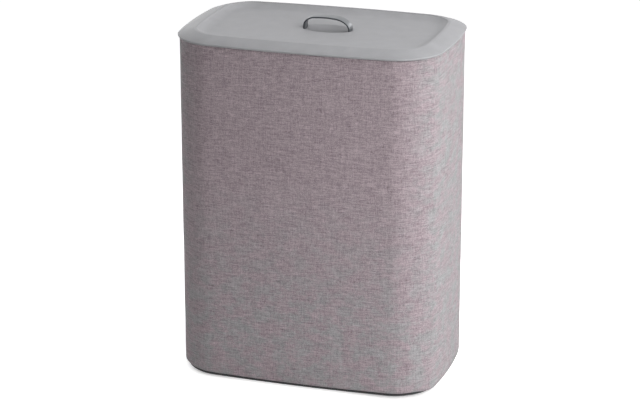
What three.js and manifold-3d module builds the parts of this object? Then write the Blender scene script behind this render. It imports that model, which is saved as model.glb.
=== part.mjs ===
// Laundry hamper with two lift-out bins under one lift-off lid.
// Millimetres, +Z up, front towards -Y, origin on the floor under the middle of the hamper.
import * as THREE from 'three';
import { mergeVertices } from 'three/addons/utils/BufferGeometryUtils.js';
import Module from 'manifold-3d';

const wasm = await Module();
wasm.setup();

// Driving dimensions
const lidWidth = 474;
const lidDepth = 310;
const crestHeight = 612; // floor to the highest line of the lid's rim
const sideBow = 13.6; // how far the middle of a short side stands out past its ends
const frontBow = 10.9; // the same for a long side
const planRadius = 63; // corner radius of the lid, seen from above

// Clearances
const fit = 0.3; // between pieces that touch
const slide = 0.5; // round pieces that lift out
const overrun = 1; // how far a cutter runs past what it cuts

// Steps of the round stretches
const cornerSteps = 5;
const longSteps = 5;
const shortSteps = 4;
const roundSteps = 12;
const footSteps = 20;
const dishSteps = 24;
const archSteps = 7;
const screwFlats = 6;

// Base
const footProud = 1; // rubber feet below the plinth
const footRadius = 12;
const footDepth = 3.2;
const footEdge = 1; // chamfer round the foot's underside
const footWeb = 0.4; // rubber under the screw's head
const footFromSide = 59; // from the lid's edge to the foot's middle
const footFromFront = 57;
const plinthHeight = 7;
const plinthWall = 3.5;
const plinthPlate = 3;
const plinthBossRadius = 15;

// Carcass and its fabric
const coverThickness = 2;
const coverAboveFloor = 6;
const turnUnderWidth = 3.2; // the fabric and the carcass turn under at the bottom
const turnUnderHeight = 6;
const coverTurnShares = [[0.8, 0.05], [0.25, 0.37], [0, 1]]; // in, up
const shellTurnShares = [[1, 0], [0.28, 0.22], [0, 0.83]];
const shellWall = 2.8;
const shellFloor = 3;
const shellFillet = 3; // between the floor and the walls, inside
const shellBossRadius = 5.5;
const shellBossHeight = 8;
const bossSkin = 1; // closed end of a screw boss

// Rim ring and centre bar
const ringFlange = 3.3;
const ringWall = 3;
const ringAboveFabric = 0.8;
const ledgeDrop = 21.7; // ring's top down to the ledge that carries the bins
const ledgeWidth = 10;
const ledgeThickness = 3;
const ringBossRadius = 5;
const ringBossDepth = 8;
const barRibWidth = 10;
const barRibHeight = 5.7;
const barFlangeWidth = 24;
const barScrewInset = 5.2; // from the ring's inside wall to the screw

// Lid
const lidOverhang = 3;
const lidShadow = 0.9; // ring's top up to the lid's lower edge
const fasciaHeight = 3.4;
const fasciaRound = 1;
const crestInset = 27.6;
const crestRise = 9;
const crestFlat = 1.2; // half width of the rounded crest
const crestEase = 0.25;
const recessWidth = 28; // from the crest to the flat floor
const recessDepth = 8;
const recessShares = [[0.15, 0.1], [0.4, 0.5], [0.7, 0.87], [1, 1]]; // inward, downward
const lidWall = 2.6;
const lipWall = 2.2;
const lipDepth = 9.6;
const seatWidth = 3.8;

// Lid handle and the finger dish under it
const handleX = 7;
const handleY = 6;
const handleSpan = 83;
const handleWidth = 20;
const handleThickness = 2.5;
const handleRise = 22; // over the recess floor
const leftShoulderWidth = 21;
const leftShoulderHeight = 15;
const rightShoulderWidth = 30; // the right end slopes down more gently
const rightShoulderHeight = 19;
const handleCrown = 0.8;
const tabLength = 14;
const tabBossRadius = 4.5;
const tabBossDepth = 8;
const dishLength = 94;
const dishWidth = 52;
const dishDepth = 9;
const dishShares = [[0, 1], [0.4, 0.84], [0.72, 0.48], [0.9, 0.19], [1, 0]]; // out, down

// Bins
const binCornerRadius = 30; // beside the centre bar
const frameFlange = 3;
const frameWall = 2.8;
const collarDepth = 28;
const bagThickness = 1.5;
const bagUnderFlange = 2; // frame's top down to the bag's hem
const bagSwell = 2.6; // the bag is wider below the frame's collar
const bagSwellDrop = 6;
const bagAboveFloor = 26;
const bagFoot = 10; // round at the bag's bottom
const bagFootShares = [[1, 0], [0.3, 0.25], [0, 1]]; // in, up
const bagSeamHeight = 6.5; // bottom panel's seam over the bag's bottom
const boardThickness = 3;
const strapWidth = 25;
const strapThickness = 2;
const strapFromBend = 2; // from a loop's side to the round of the bin's corner
const strapDrop = 96; // rivets down to the bottom of the loop
const strapCurve = 48; // height of the round at the bottom of the loop
const strapAboveRivet = 8;
const rivetDrop = 14; // frame's top down to the rivets

// Fasteners
const screwShank = 1.7;
const screwHead = 3.5;
const screwHeadHeight = 2.2;
const screwSocket = 1.2;
const screwSocketDepth = 1.1;
const screwBite = 6; // thread in the boss
const rivetShank = 1.7;
const rivetHead = 4.5;
const rivetHeadHeight = 1.2;
const crownShare = 0.65; // flat top of a fastener's head

// Heights that follow from the sizes above
const plinthTop = footProud + plinthHeight;
const shellBottom = plinthTop + fit;
const floorTop = shellBottom + shellFloor;
const edgeTop = crestHeight - crestRise;
const lidBottom = edgeTop - fasciaHeight;
const ringTop = lidBottom - lidShadow;
const coverTop = ringTop - ringAboveFabric;
const shellTop = ringTop - ringFlange - fit;
const ledgeTop = ringTop - ledgeDrop;
const ledgeBottom = ledgeTop - ledgeThickness;
const frameBottom = ledgeTop + fit;
const frameTop = frameBottom + frameFlange;
const collarBottom = frameTop - collarDepth;
const rivetHeight = frameTop - rivetDrop;
const recessFloor = crestHeight - recessDepth;
const lidUnder = recessFloor - lidWall;

// Insets from the lid's edge that follow from them
const coverInset = lidOverhang;
const shellInset = coverInset + coverThickness + fit;
const plinthInset = shellInset + turnUnderWidth;
const webInset = shellInset + shellWall + fit;
const ledgeInset = webInset + ringWall;
const openInset = ledgeInset + ledgeWidth;
const frameInset = ledgeInset + slide;
const lipInset = ledgeInset + slide;

// Insets from the outline of a bin's frame
const collarInset = openInset + slide - frameInset;
const bagTopInset = collarInset + frameWall + fit;
const bagLowInset = bagTopInset - bagSwell;
const bagInnerInset = bagLowInset + bagThickness;
const strapInset = bagTopInset + bagThickness + fit;
const rivetStack = strapInset + strapThickness + fit - collarInset;

// Places that follow from them
const footX = lidWidth / 2 - footFromSide;
const footY = lidDepth / 2 - footFromFront;
const cornerX = lidWidth / 2 - sideBow - planRadius;
const cornerY = lidDepth / 2 - frontBow - planRadius;
const binSide = barRibWidth / 2 + slide;
const binBend = binSide + binCornerRadius;
const strapMiddle = (binBend + cornerX) / 2;
const strapSpread = cornerX - binBend - strapWidth - 2 * strapFromBend; // middle to middle of legs
const handleLeg = (handleSpan - handleThickness) / 2;
const tabMiddle = (handleSpan + tabLength) / 2;
const tabTop = lidUnder - tabBossDepth - fit;
const tabBottom = tabTop - handleThickness;

const materials = {
  fabric: new THREE.MeshStandardMaterial({ color: 0x958a8e, roughness: 0.95, metalness: 0 }),
  lidPlastic: new THREE.MeshStandardMaterial({ color: 0xa9aaac, roughness: 0.55, metalness: 0 }),
  bodyPlastic: new THREE.MeshStandardMaterial({ color: 0x8d8f92, roughness: 0.6, metalness: 0 }),
  darkPlastic: new THREE.MeshStandardMaterial({ color: 0x3a3b3d, roughness: 0.65, metalness: 0 }),
  steel: new THREE.MeshStandardMaterial({ color: 0xb9bbbd, roughness: 0.3, metalness: 1 }),
  rubber: new THREE.MeshStandardMaterial({ color: 0x222324, roughness: 0.85, metalness: 0 }),
  lightBag: new THREE.MeshStandardMaterial({ color: 0xc9c8c6, roughness: 0.9, metalness: 0 }),
  darkBag: new THREE.MeshStandardMaterial({ color: 0x5f6064, roughness: 0.9, metalness: 0 }),
  webbing: new THREE.MeshStandardMaterial({ color: 0x47484b, roughness: 0.85, metalness: 0 }),
};

const hamper = new THREE.Group();

function addPiece(name, geometry, material) {
  const mesh = new THREE.Mesh(outward(geometry), material);
  mesh.name = name;
  hamper.add(mesh);
  return mesh;
}

// The lid's edge from above: a rounded rectangle whose four sides bow outwards, anticlockwise
// from the front left
function planLoop() {
  const halfX = lidWidth / 2 - sideBow;
  const halfY = lidDepth / 2 - frontBow;
  const x = halfX - planRadius;
  const y = halfY - planRadius;
  const points = [];
  const addSide = (from, to, steps) => {
    for (let step = 1; step < steps; step += 1) {
      points.push(from.clone().lerp(to, step / steps));
    }
  };
  const addCorner = (centreX, centreY, quarter) => {
    points.push(...quarterRound(new THREE.Vector2(centreX, centreY), planRadius, quarter));
  };
  addSide(new THREE.Vector2(-x, -halfY), new THREE.Vector2(x, -halfY), longSteps);
  addCorner(x, -y, -1);
  addSide(new THREE.Vector2(halfX, -y), new THREE.Vector2(halfX, y), shortSteps);
  addCorner(x, y, 0);
  addSide(new THREE.Vector2(x, halfY), new THREE.Vector2(-x, halfY), longSteps);
  addCorner(-x, y, 1);
  addSide(new THREE.Vector2(-halfX, y), new THREE.Vector2(-halfX, -y), shortSteps);
  addCorner(-x, -y, 2);
  return points.map((point) => new THREE.Vector2(
    point.x * (1 + sideBow / halfX * (1 - (point.y / halfY) ** 2)),
    point.y * (1 + frontBow / halfY * (1 - (point.x / halfX) ** 2)),
  ));
}

// A quarter circle that starts so many quarter turns past +X
function quarterRound(centre, radius, quarter) {
  const points = [];
  for (let step = 0; step <= cornerSteps; step += 1) {
    const angle = (quarter + step / cornerSteps) * Math.PI / 2;
    const out = new THREE.Vector2(Math.cos(angle), Math.sin(angle));
    points.push(out.multiplyScalar(radius).add(centre));
  }
  return points;
}

// The loop moved inwards by the inset, every side parallel to where it was
function insetLoop(loop, inset) {
  const inward = (from, to) => new THREE.Vector2(from.y - to.y, to.x - from.x).normalize();
  return loop.map((point, index) => {
    const before = inward(loop.at(index - 1), point);
    const after = inward(point, loop[(index + 1) % loop.length]);
    const mitre = before.clone().add(after).multiplyScalar(inset / (1 + before.dot(after)));
    return mitre.add(point);
  });
}

// Where the loop's front side has the given x
function frontAt(loop, x) {
  const next = (index) => loop[(index + 1) % loop.length];
  const index = loop.findIndex((point, here) => point.x <= x && next(here).x > x);
  const from = loop[index];
  const to = next(index);
  return THREE.MathUtils.mapLinear(x, from.x, to.x, from.y, to.y);
}

// A solid with one outline at many heights: a profile point is [inset, height]. An open profile
// is capped at both ends, and a closed one makes a ring.
function loopSolid(loop, profile, closed = false) {
  const count = loop.length;
  const positions = [];
  for (const [inset, height] of profile) {
    for (const point of insetLoop(loop, inset)) {
      positions.push(point.x, point.y, height);
    }
  }
  const indices = [];
  const bands = closed ? profile.length : profile.length - 1;
  for (let band = 0; band < bands; band += 1) {
    const low = band * count;
    const high = ((band + 1) % profile.length) * count;
    for (let side = 0; side < count; side += 1) {
      const next = (side + 1) % count;
      indices.push(low + side, low + next, high + next);
      indices.push(low + side, high + next, high + side);
    }
  }
  if (!closed) {
    const middle = loop.reduce((sum, point) => sum.add(point), new THREE.Vector2());
    middle.divideScalar(count);
    const centre = profile.length * count;
    const last = (profile.length - 1) * count;
    positions.push(middle.x, middle.y, profile[0][1]);
    positions.push(middle.x, middle.y, profile.at(-1)[1]);
    for (let side = 0; side < count; side += 1) {
      const next = (side + 1) % count;
      indices.push(centre, next, side);
      indices.push(centre + 1, last + side, last + next);
    }
  }
  const geometry = new THREE.BufferGeometry();
  geometry.setAttribute('position', new THREE.Float32BufferAttribute(positions, 3));
  geometry.setIndex(indices);
  return geometry;
}

// The geometry with its faces pointing out, whatever mirroring it went through
function outward(geometry) {
  const order = geometry.index
    ? Array.from(geometry.index.array)
    : Array.from({ length: geometry.attributes.position.count }, (_, place) => place);
  const corner = (place) => {
    return new THREE.Vector3().fromBufferAttribute(geometry.attributes.position, order[place]);
  };
  let volume = 0;
  for (let place = 0; place < order.length; place += 3) {
    volume += corner(place).dot(corner(place + 1).cross(corner(place + 2)));
  }
  if (volume < 0) {
    geometry.setIndex(order.reverse());
  }
  return geometry;
}

// Closed form of a three.js geometry, for joining and cutting
function toSolid(geometry) {
  const bare = outward(geometry.clone());
  bare.deleteAttribute('normal');
  bare.deleteAttribute('uv');
  const merged = mergeVertices(bare);
  return new wasm.Manifold(new wasm.Mesh({
    numProp: 3,
    vertProperties: new Float32Array(merged.attributes.position.array),
    triVerts: new Uint32Array(merged.index.array),
  }));
}

function toGeometry(solid) {
  const mesh = solid.getMesh();
  const geometry = new THREE.BufferGeometry();
  geometry.setAttribute('position', new THREE.BufferAttribute(mesh.vertProperties, mesh.numProp));
  geometry.setIndex(new THREE.BufferAttribute(mesh.triVerts, 1));
  return geometry;
}

// An upright round piece from [radius, height] points that start and end on its axis
function turned(points, steps = roundSteps) {
  const outline = points.map(([radius, height]) => new THREE.Vector2(radius, height));
  return new THREE.LatheGeometry(outline, steps).rotateX(Math.PI / 2);
}

function rod(radius, bottom, top) {
  return turned([[0, bottom], [radius, bottom], [radius, top], [0, top]]);
}

function block(sizeX, sizeY, bottom, top) {
  return new THREE.BoxGeometry(sizeX, sizeY, top - bottom).translate(0, 0, (bottom + top) / 2);
}

// A screw with its point up and its head's bearing face at height 0
function screw(length) {
  const body = toSolid(turned([
    [0, -screwHeadHeight],
    [screwHead * crownShare, -screwHeadHeight],
    [screwHead, -screwHeadHeight / 2],
    [screwHead, 0],
    [screwShank, 0],
    [screwShank, length - screwShank],
    [0, length],
  ]));
  const depth = screwSocketDepth + overrun;
  const socket = new THREE.CylinderGeometry(screwSocket, screwSocket, depth, screwFlats);
  socket.rotateX(Math.PI / 2).translate(0, 0, screwSocketDepth - depth / 2 - screwHeadHeight);
  return toGeometry(body.subtract(toSolid(socket)));
}

const lidLoop = planLoop();
const footPlaces = {
  front_left: [-footX, -footY],
  front_right: [footX, -footY],
  rear_left: [-footX, footY],
  rear_right: [footX, footY],
};

function addPlinth() {
  const plateBottom = plinthTop - plinthPlate;
  let plinth = toSolid(loopSolid(lidLoop, [
    [plinthInset + plinthWall, plateBottom],
    [plinthInset + plinthWall, footProud],
    [plinthInset, footProud],
    [plinthInset, plinthTop],
  ]));
  const boss = toSolid(rod(plinthBossRadius, footProud, plateBottom + overrun));
  const pocket = toSolid(turned([
    [0, -overrun],
    [footRadius + fit, -overrun],
    [footRadius + fit, footDepth + fit],
    [0, footDepth + fit],
  ], footSteps));
  const hole = toSolid(rod(screwShank + fit, -overrun, plinthTop + overrun));
  for (const [x, y] of Object.values(footPlaces)) {
    plinth = plinth.add(boss.translate(x, y, 0));
    plinth = plinth.subtract(pocket.translate(x, y, 0)).subtract(hole.translate(x, y, 0));
  }
  addPiece('base_plinth', toGeometry(plinth), materials.darkPlastic);
}

function addFeet() {
  const pad = toSolid(turned([
    [0, 0],
    [footRadius - footEdge, 0],
    [footRadius, footEdge],
    [footRadius, footDepth],
    [0, footDepth],
  ], footSteps));
  const headSeat = footDepth - footWeb;
  const recess = toSolid(rod(screwHead + fit, -overrun, headSeat));
  const hole = toSolid(rod(screwShank + fit, -overrun, footDepth + overrun));
  const foot = toGeometry(pad.subtract(recess).subtract(hole));
  const footScrew = screw(floorTop + screwBite - headSeat);
  for (const [name, [x, y]] of Object.entries(footPlaces)) {
    addPiece(`foot_${name}`, foot, materials.rubber).position.set(x, y, 0);
    const fixing = addPiece(`foot_screw_${name}`, footScrew, materials.steel);
    fixing.position.set(x, y, headSeat - fit);
  }
}

function turnUnder(shares, inset, bottom) {
  return shares.map(([inShare, upShare]) => [
    inset + turnUnderWidth * inShare,
    bottom + turnUnderHeight * upShare,
  ]);
}

function addShell() {
  const inner = shellInset + shellWall;
  let shell = toSolid(loopSolid(lidLoop, [
    ...turnUnder(shellTurnShares, shellInset, shellBottom),
    [shellInset, shellTop],
    [inner, shellTop],
    [inner, floorTop + shellFillet],
    [inner + shellFillet, floorTop],
  ]));
  const bossTop = floorTop + shellBossHeight;
  const boss = toSolid(rod(shellBossRadius, floorTop - overrun, bossTop));
  const hole = toSolid(rod(screwShank + fit, shellBottom - overrun, bossTop - bossSkin));
  for (const [x, y] of Object.values(footPlaces)) {
    shell = shell.add(boss.translate(x, y, 0)).subtract(hole.translate(x, y, 0));
  }
  addPiece('outer_shell', toGeometry(shell), materials.bodyPlastic);
}

function addCover() {
  const inside = turnUnder(shellTurnShares, shellInset - fit, shellBottom - fit);
  addPiece('fabric_cover', loopSolid(lidLoop, [
    [plinthInset - fit, coverAboveFloor],
    ...turnUnder(coverTurnShares, coverInset, coverAboveFloor),
    [coverInset, coverTop],
    [coverInset + coverThickness, coverTop],
    ...inside.reverse(),
  ], true), materials.fabric);
}

// Where the centre bar ends and where its screws go
const webFront = -frontAt(insetLoop(lidLoop, ledgeInset), 0);
const barScrewPlaces = { front: barScrewInset - webFront, rear: webFront - barScrewInset };

function addRimRing() {
  const bossBottom = ledgeBottom - ringBossDepth;
  let ring = toSolid(loopSolid(lidLoop, [
    [webInset, ledgeBottom],
    [webInset, shellTop + fit],
    [shellInset, shellTop + fit],
    [shellInset, ringTop],
    [ledgeInset, ringTop],
    [ledgeInset, ledgeTop],
    [openInset, ledgeTop],
    [openInset, ledgeBottom],
  ].reverse(), true));
  const boss = toSolid(rod(ringBossRadius, bossBottom, ledgeTop - overrun));
  const hole = toSolid(rod(screwShank + fit, bossBottom + bossSkin, ledgeTop + overrun));
  for (const y of Object.values(barScrewPlaces)) {
    ring = ring.add(boss.translate(0, y, 0)).subtract(hole.translate(0, y, 0));
  }
  addPiece('rim_ring', toGeometry(ring), materials.lidPlastic);
}

function addCentreBar() {
  const ribBottom = ledgeTop + fit;
  const ribTop = ribBottom + barRibHeight;
  const openFront = -frontAt(insetLoop(lidLoop, openInset), 0);
  const ribLength = 2 * (webFront - slide);
  const flangeLength = 2 * (openFront - slide);
  const headSeat = ribTop - screwHeadHeight;
  const rib = toSolid(block(barRibWidth, ribLength, ribBottom, ribTop));
  const flange = toSolid(block(barFlangeWidth, flangeLength, ledgeBottom, ledgeTop));
  const neck = toSolid(block(barRibWidth, flangeLength, ledgeBottom, ribTop));
  const hole = toSolid(rod(screwShank + fit, ledgeBottom, ribTop + overrun));
  const sink = toSolid(rod(screwHead + fit, headSeat - fit, ribTop + overrun));
  const barScrew = screw(headSeat - ledgeTop + screwBite).rotateX(Math.PI);
  let bar = rib.add(flange).add(neck);
  for (const [name, y] of Object.entries(barScrewPlaces)) {
    bar = bar.subtract(hole.translate(0, y, 0)).subtract(sink.translate(0, y, 0));
    addPiece(`bar_screw_${name}`, barScrew, materials.steel).position.set(0, y, headSeat);
  }
  addPiece('centre_bar', toGeometry(bar), materials.lidPlastic);
}

// The lid before its dish, slots and bosses
function lidBlank() {
  const under = (inset) => edgeTop + crestRise * inset / crestInset - lidWall;
  const lipInner = lipInset + lipWall;
  const seatOuter = lipInset - seatWidth;
  const recess = recessShares.map(([inwardShare, downShare]) => [
    crestInset + recessWidth * inwardShare,
    crestHeight - recessDepth * downShare,
  ]);
  const [bendInset, bendHeight] = recess[1];
  return toSolid(loopSolid(lidLoop, [
    [crestInset + recessWidth, lidUnder],
    [bendInset, bendHeight - lidWall],
    [crestInset, crestHeight - lidWall - crestEase],
    [lipInner, under(lipInner)],
    [lipInner, lidBottom - lipDepth],
    [lipInset, lidBottom - lipDepth],
    [lipInset, ringTop + fit],
    [seatOuter, ringTop + fit],
    [seatOuter, under(seatOuter)],
    [lidWall, under(lidWall)],
    [lidWall, lidBottom],
    [fasciaRound, lidBottom],
    [0, lidBottom + fasciaRound],
    [0, edgeTop - fasciaRound / 2],
    [fasciaRound, edgeTop + crestEase],
    [crestInset - crestFlat, crestHeight - crestEase],
    [crestInset, crestHeight],
    [crestInset + crestFlat, crestHeight - crestEase],
    ...recess,
  ]));
}

// The dish's bowl as a solid, its rim at the given height
function dishBowl(length, width, height) {
  const line = dishShares.map(([outShare, downShare]) => [outShare / 2, -dishDepth * downShare]);
  const bowl = turned([...line, [0.5, overrun], [0, overrun]], dishSteps);
  return toSolid(bowl.scale(length, width, 1).translate(handleX, handleY, height));
}

function addLid() {
  const bossBottom = lidUnder - tabBossDepth;
  const tabs = [handleX - tabMiddle, handleX + tabMiddle];
  const legs = [handleX - handleLeg, handleX + handleLeg];
  const boss = toSolid(rod(tabBossRadius, bossBottom, lidUnder + overrun));
  const hole = toSolid(rod(screwShank + fit, bossBottom - overrun, lidUnder));
  const slotLength = handleThickness + 2 * fit;
  const slot = toSolid(block(slotLength, handleWidth + 2 * fit, tabTop, crestHeight));
  let lid = lidBlank().add(dishBowl(dishLength + 2 * lidWall, dishWidth + 2 * lidWall, lidUnder));
  for (const x of tabs) {
    lid = lid.add(boss.translate(x, handleY, 0));
  }
  lid = lid.subtract(dishBowl(dishLength, dishWidth, recessFloor));
  for (const x of tabs) {
    lid = lid.subtract(hole.translate(x, handleY, 0));
  }
  for (const x of legs) {
    lid = lid.subtract(slot.translate(x, handleY, 0));
  }
  addPiece('lid_shell', toGeometry(lid), materials.lidPlastic);
}

// Middle line of one shoulder of the strap, from the leg up to the top, on the right side
function shoulderLine(top, width, height) {
  const centreX = handleLeg - width;
  const centreZ = top - handleCrown - height;
  const line = [];
  for (let step = 0; step <= archSteps; step += 1) {
    const angle = step / archSteps * Math.PI / 2;
    line.push(new THREE.Vector2(
      centreX + width * Math.cos(angle),
      centreZ + height * Math.sin(angle),
    ));
  }
  return line;
}

// Middle line of the strap over the lid, from its right leg to its left one
function archLine() {
  const top = recessFloor + handleRise - handleThickness / 2;
  const right = shoulderLine(top, rightShoulderWidth, rightShoulderHeight);
  const left = shoulderLine(top, leftShoulderWidth, leftShoulderHeight)
    .map((point) => new THREE.Vector2(-point.x, point.y));
  return [...right, new THREE.Vector2(0, top), ...left.reverse()];
}

// A line moved sideways, its two ends kept upright
function besideLine(line, offset) {
  return line.map((point, index) => {
    const isEnd = index === 0 || index === line.length - 1;
    const from = line[Math.max(index - 1, 0)];
    const to = line[Math.min(index + 1, line.length - 1)];
    const along = isEnd ? new THREE.Vector2(0, index === 0 ? 1 : -1) : to.clone().sub(from);
    const normal = new THREE.Vector2(along.y, -along.x).normalize();
    return point.clone().addScaledVector(normal, offset);
  });
}

function addHandle() {
  const line = archLine();
  const corner = handleSpan / 2;
  const inside = corner - handleThickness;
  const tabEnd = corner + tabLength;
  const rightTab = [[inside, tabBottom], [tabEnd, tabBottom], [tabEnd, tabTop], [corner, tabTop]];
  const leftTab = rightTab.map(([x, z]) => [-x, z]).reverse();
  const outline = [
    ...rightTab.map(([x, z]) => new THREE.Vector2(x, z)),
    ...besideLine(line, handleThickness / 2),
    ...leftTab.map(([x, z]) => new THREE.Vector2(x, z)),
    ...besideLine(line, -handleThickness / 2).reverse(),
  ];
  const strap = new THREE.ExtrudeGeometry(new THREE.Shape(outline), {
    depth: handleWidth,
    bevelEnabled: false,
  });
  let handle = toSolid(strap.translate(0, 0, -handleWidth / 2).rotateX(Math.PI / 2));
  const hole = toSolid(rod(screwShank + fit, tabBottom - overrun, tabTop + overrun));
  const handleScrew = screw(handleThickness + fit + screwBite);
  for (const [name, x] of [['left', -tabMiddle], ['right', tabMiddle]]) {
    handle = handle.subtract(hole.translate(x, 0, 0));
    const fixing = addPiece(`handle_screw_${name}`, handleScrew, materials.steel);
    fixing.position.set(handleX + x, handleY, tabBottom - fit);
  }
  const mesh = addPiece('lid_handle', toGeometry(handle), materials.steel);
  mesh.position.set(handleX, handleY, 0);
}

// The outline of the right-hand bin's frame: the hamper's own outline as far as the centre bar,
// with two round corners beside the bar
function binLoop() {
  const rim = insetLoop(lidLoop, frameInset);
  const centre = new THREE.Vector2(binBend, frontAt(rim, binBend) + binCornerRadius);
  const front = quarterRound(centre, binCornerRadius, 2);
  const rear = front.map((point) => new THREE.Vector2(point.x, -point.y)).reverse();
  return [...front, ...rim.filter((point) => point.x > binBend + slide), ...rear];
}

// A carrying loop from the front, its rivets at height 0
function strapShape() {
  const outer = (strapSpread + strapWidth) / 2;
  const inner = (strapSpread - strapWidth) / 2;
  const bend = strapCurve - strapDrop;
  const shape = new THREE.Shape();
  shape.moveTo(-outer, strapAboveRivet);
  shape.lineTo(-outer, bend);
  shape.absellipse(0, bend, outer, strapCurve, Math.PI, 2 * Math.PI);
  shape.lineTo(outer, strapAboveRivet);
  shape.lineTo(inner, strapAboveRivet);
  shape.lineTo(inner, bend);
  shape.absellipse(0, bend, inner, strapCurve - strapWidth, 0, Math.PI, true);
  shape.lineTo(-inner, strapAboveRivet);
  return shape;
}

// The same loop against the inside of the bag, bent to follow the bag's front
function hangingStrap(loop) {
  const face = insetLoop(loop, strapInset);
  const strap = new THREE.ExtrudeGeometry(strapShape(), {
    depth: strapThickness,
    bevelEnabled: false,
    curveSegments: cornerSteps,
  });
  const position = strap.attributes.position;
  for (let index = 0; index < position.count; index += 1) {
    const x = strapMiddle + position.getX(index);
    const y = frontAt(face, x) + position.getZ(index);
    position.setXYZ(index, x, y, rivetHeight + position.getY(index));
  }
  return strap;
}

// From the collar's outside face at the given x, the axis straight into the bin
function rivetPlace(loop, x) {
  const face = insetLoop(loop, collarInset);
  const rise = frontAt(face, x + rivetShank) - frontAt(face, x - rivetShank);
  const place = new THREE.Matrix4().makeRotationX(-Math.PI / 2);
  place.premultiply(new THREE.Matrix4().makeRotationZ(Math.atan2(rise, 2 * rivetShank)));
  return place.setPosition(x, frontAt(face, x), rivetHeight);
}

// The bag cut along its seams, beside the four round corners and round the bottom
function bagPanels(bag, loop) {
  const seamHeight = bagAboveFloor + bagSeamHeight;
  const bendY = -frontAt(loop, binBend) - binCornerRadius;
  const panel = ([left, right], [front, rear], [bottom, top] = [seamHeight, ringTop]) => {
    const zone = block(right - left - fit, rear - front - fit, bottom + fit / 2, top - fit / 2);
    return bag.intersect(toSolid(zone.translate((left + right) / 2, (front + rear) / 2, 0)));
  };
  const inner = [0, binBend];
  const outer = [cornerX, lidWidth];
  return {
    bottom: panel([0, lidWidth], [-lidDepth, lidDepth], [0, seamHeight]),
    front: panel([binBend, cornerX], [-lidDepth, 0]),
    rear: panel([binBend, cornerX], [0, lidDepth]),
    inner: panel(inner, [-bendY, bendY]),
    outer: panel(outer, [-cornerY, cornerY]),
    corner_front_inner: panel(inner, [-lidDepth, -bendY]),
    corner_front_outer: panel(outer, [-lidDepth, -cornerY]),
    corner_rear_inner: panel(inner, [bendY, lidDepth]),
    corner_rear_outer: panel(outer, [cornerY, lidDepth]),
  };
}

function addBin(letter, side, bagMaterial) {
  const loop = binLoop();
  const add = (name, geometry, material) => {
    addPiece(`bin_${letter}_${name}`, geometry.clone().scale(side, 1, 1), material);
  };
  const bagBottom = bagFootShares.map(([inShare, upShare]) => [
    bagLowInset + bagFoot * inShare,
    bagAboveFloor + bagFoot * upShare,
  ]);
  const hemInset = bagTopInset + bagThickness;
  let bag = toSolid(loopSolid(loop, [
    ...bagBottom,
    [bagLowInset, collarBottom - bagSwellDrop],
    [bagTopInset, collarBottom],
    [bagTopInset, frameTop - bagUnderFlange],
    [hemInset, frameTop - bagUnderFlange],
    [hemInset, collarBottom - fit],
    [bagInnerInset, collarBottom - bagSwellDrop - fit],
    [bagInnerInset, bagAboveFloor + bagFoot],
    [bagInnerInset + bagFoot / 2, bagAboveFloor + bagThickness],
  ]));
  let frame = toSolid(loopSolid(loop, [
    [collarInset, frameBottom],
    [0, frameBottom],
    [0, frameTop],
    [collarInset + frameWall, frameTop],
    [collarInset + frameWall, collarBottom],
    [collarInset, collarBottom],
  ], true));

  const strapGeometry = hangingStrap(loop);
  const rivetGeometry = turned([
    [0, fit],
    [rivetShank, fit],
    [rivetShank, rivetStack],
    [rivetHead, rivetStack],
    [rivetHead, rivetStack + rivetHeadHeight / 2],
    [rivetHead * crownShare, rivetStack + rivetHeadHeight],
    [0, rivetStack + rivetHeadHeight],
  ]);
  const holeGeometry = rod(rivetShank + fit, -overrun, rivetStack + overrun);
  const ends = { left: strapMiddle - strapSpread / 2, right: strapMiddle + strapSpread / 2 };
  for (const [place, turn] of [['front', 1], ['rear', -1]]) {
    let strap = toSolid(strapGeometry.clone().scale(1, turn, 1));
    for (const [end, x] of Object.entries(ends)) {
      const at = rivetPlace(loop, x).premultiply(new THREE.Matrix4().makeScale(1, turn, 1));
      const hole = toSolid(holeGeometry.clone().applyMatrix4(at));
      strap = strap.subtract(hole);
      bag = bag.subtract(hole);
      frame = frame.subtract(hole);
      add(`rivet_${place}_${end}`, rivetGeometry.clone().applyMatrix4(at), materials.steel);
    }
    add(`strap_${place}`, toGeometry(strap), materials.webbing);
  }
  add('frame', toGeometry(frame), materials.bodyPlastic);
  for (const [name, panel] of Object.entries(bagPanels(bag, loop))) {
    add(`bag_${name}`, toGeometry(panel), bagMaterial);
  }

  const boardInset = bagInnerInset + bagFoot / 2 + slide;
  const boardBottom = bagAboveFloor + bagThickness + fit;
  add('base_board', loopSolid(loop, [
    [boardInset, boardBottom],
    [boardInset, boardBottom + boardThickness],
  ]), materials.darkPlastic);
}

addPlinth();
addFeet();
addShell();
addCover();
addRimRing();
addCentreBar();
addLid();
addHandle();
addBin('a', 1, materials.lightBag);
addBin('b', -1, materials.darkBag);

export default hamper;
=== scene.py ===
import math

import bmesh
import bpy
from mathutils import Matrix, Vector, noise


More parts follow.
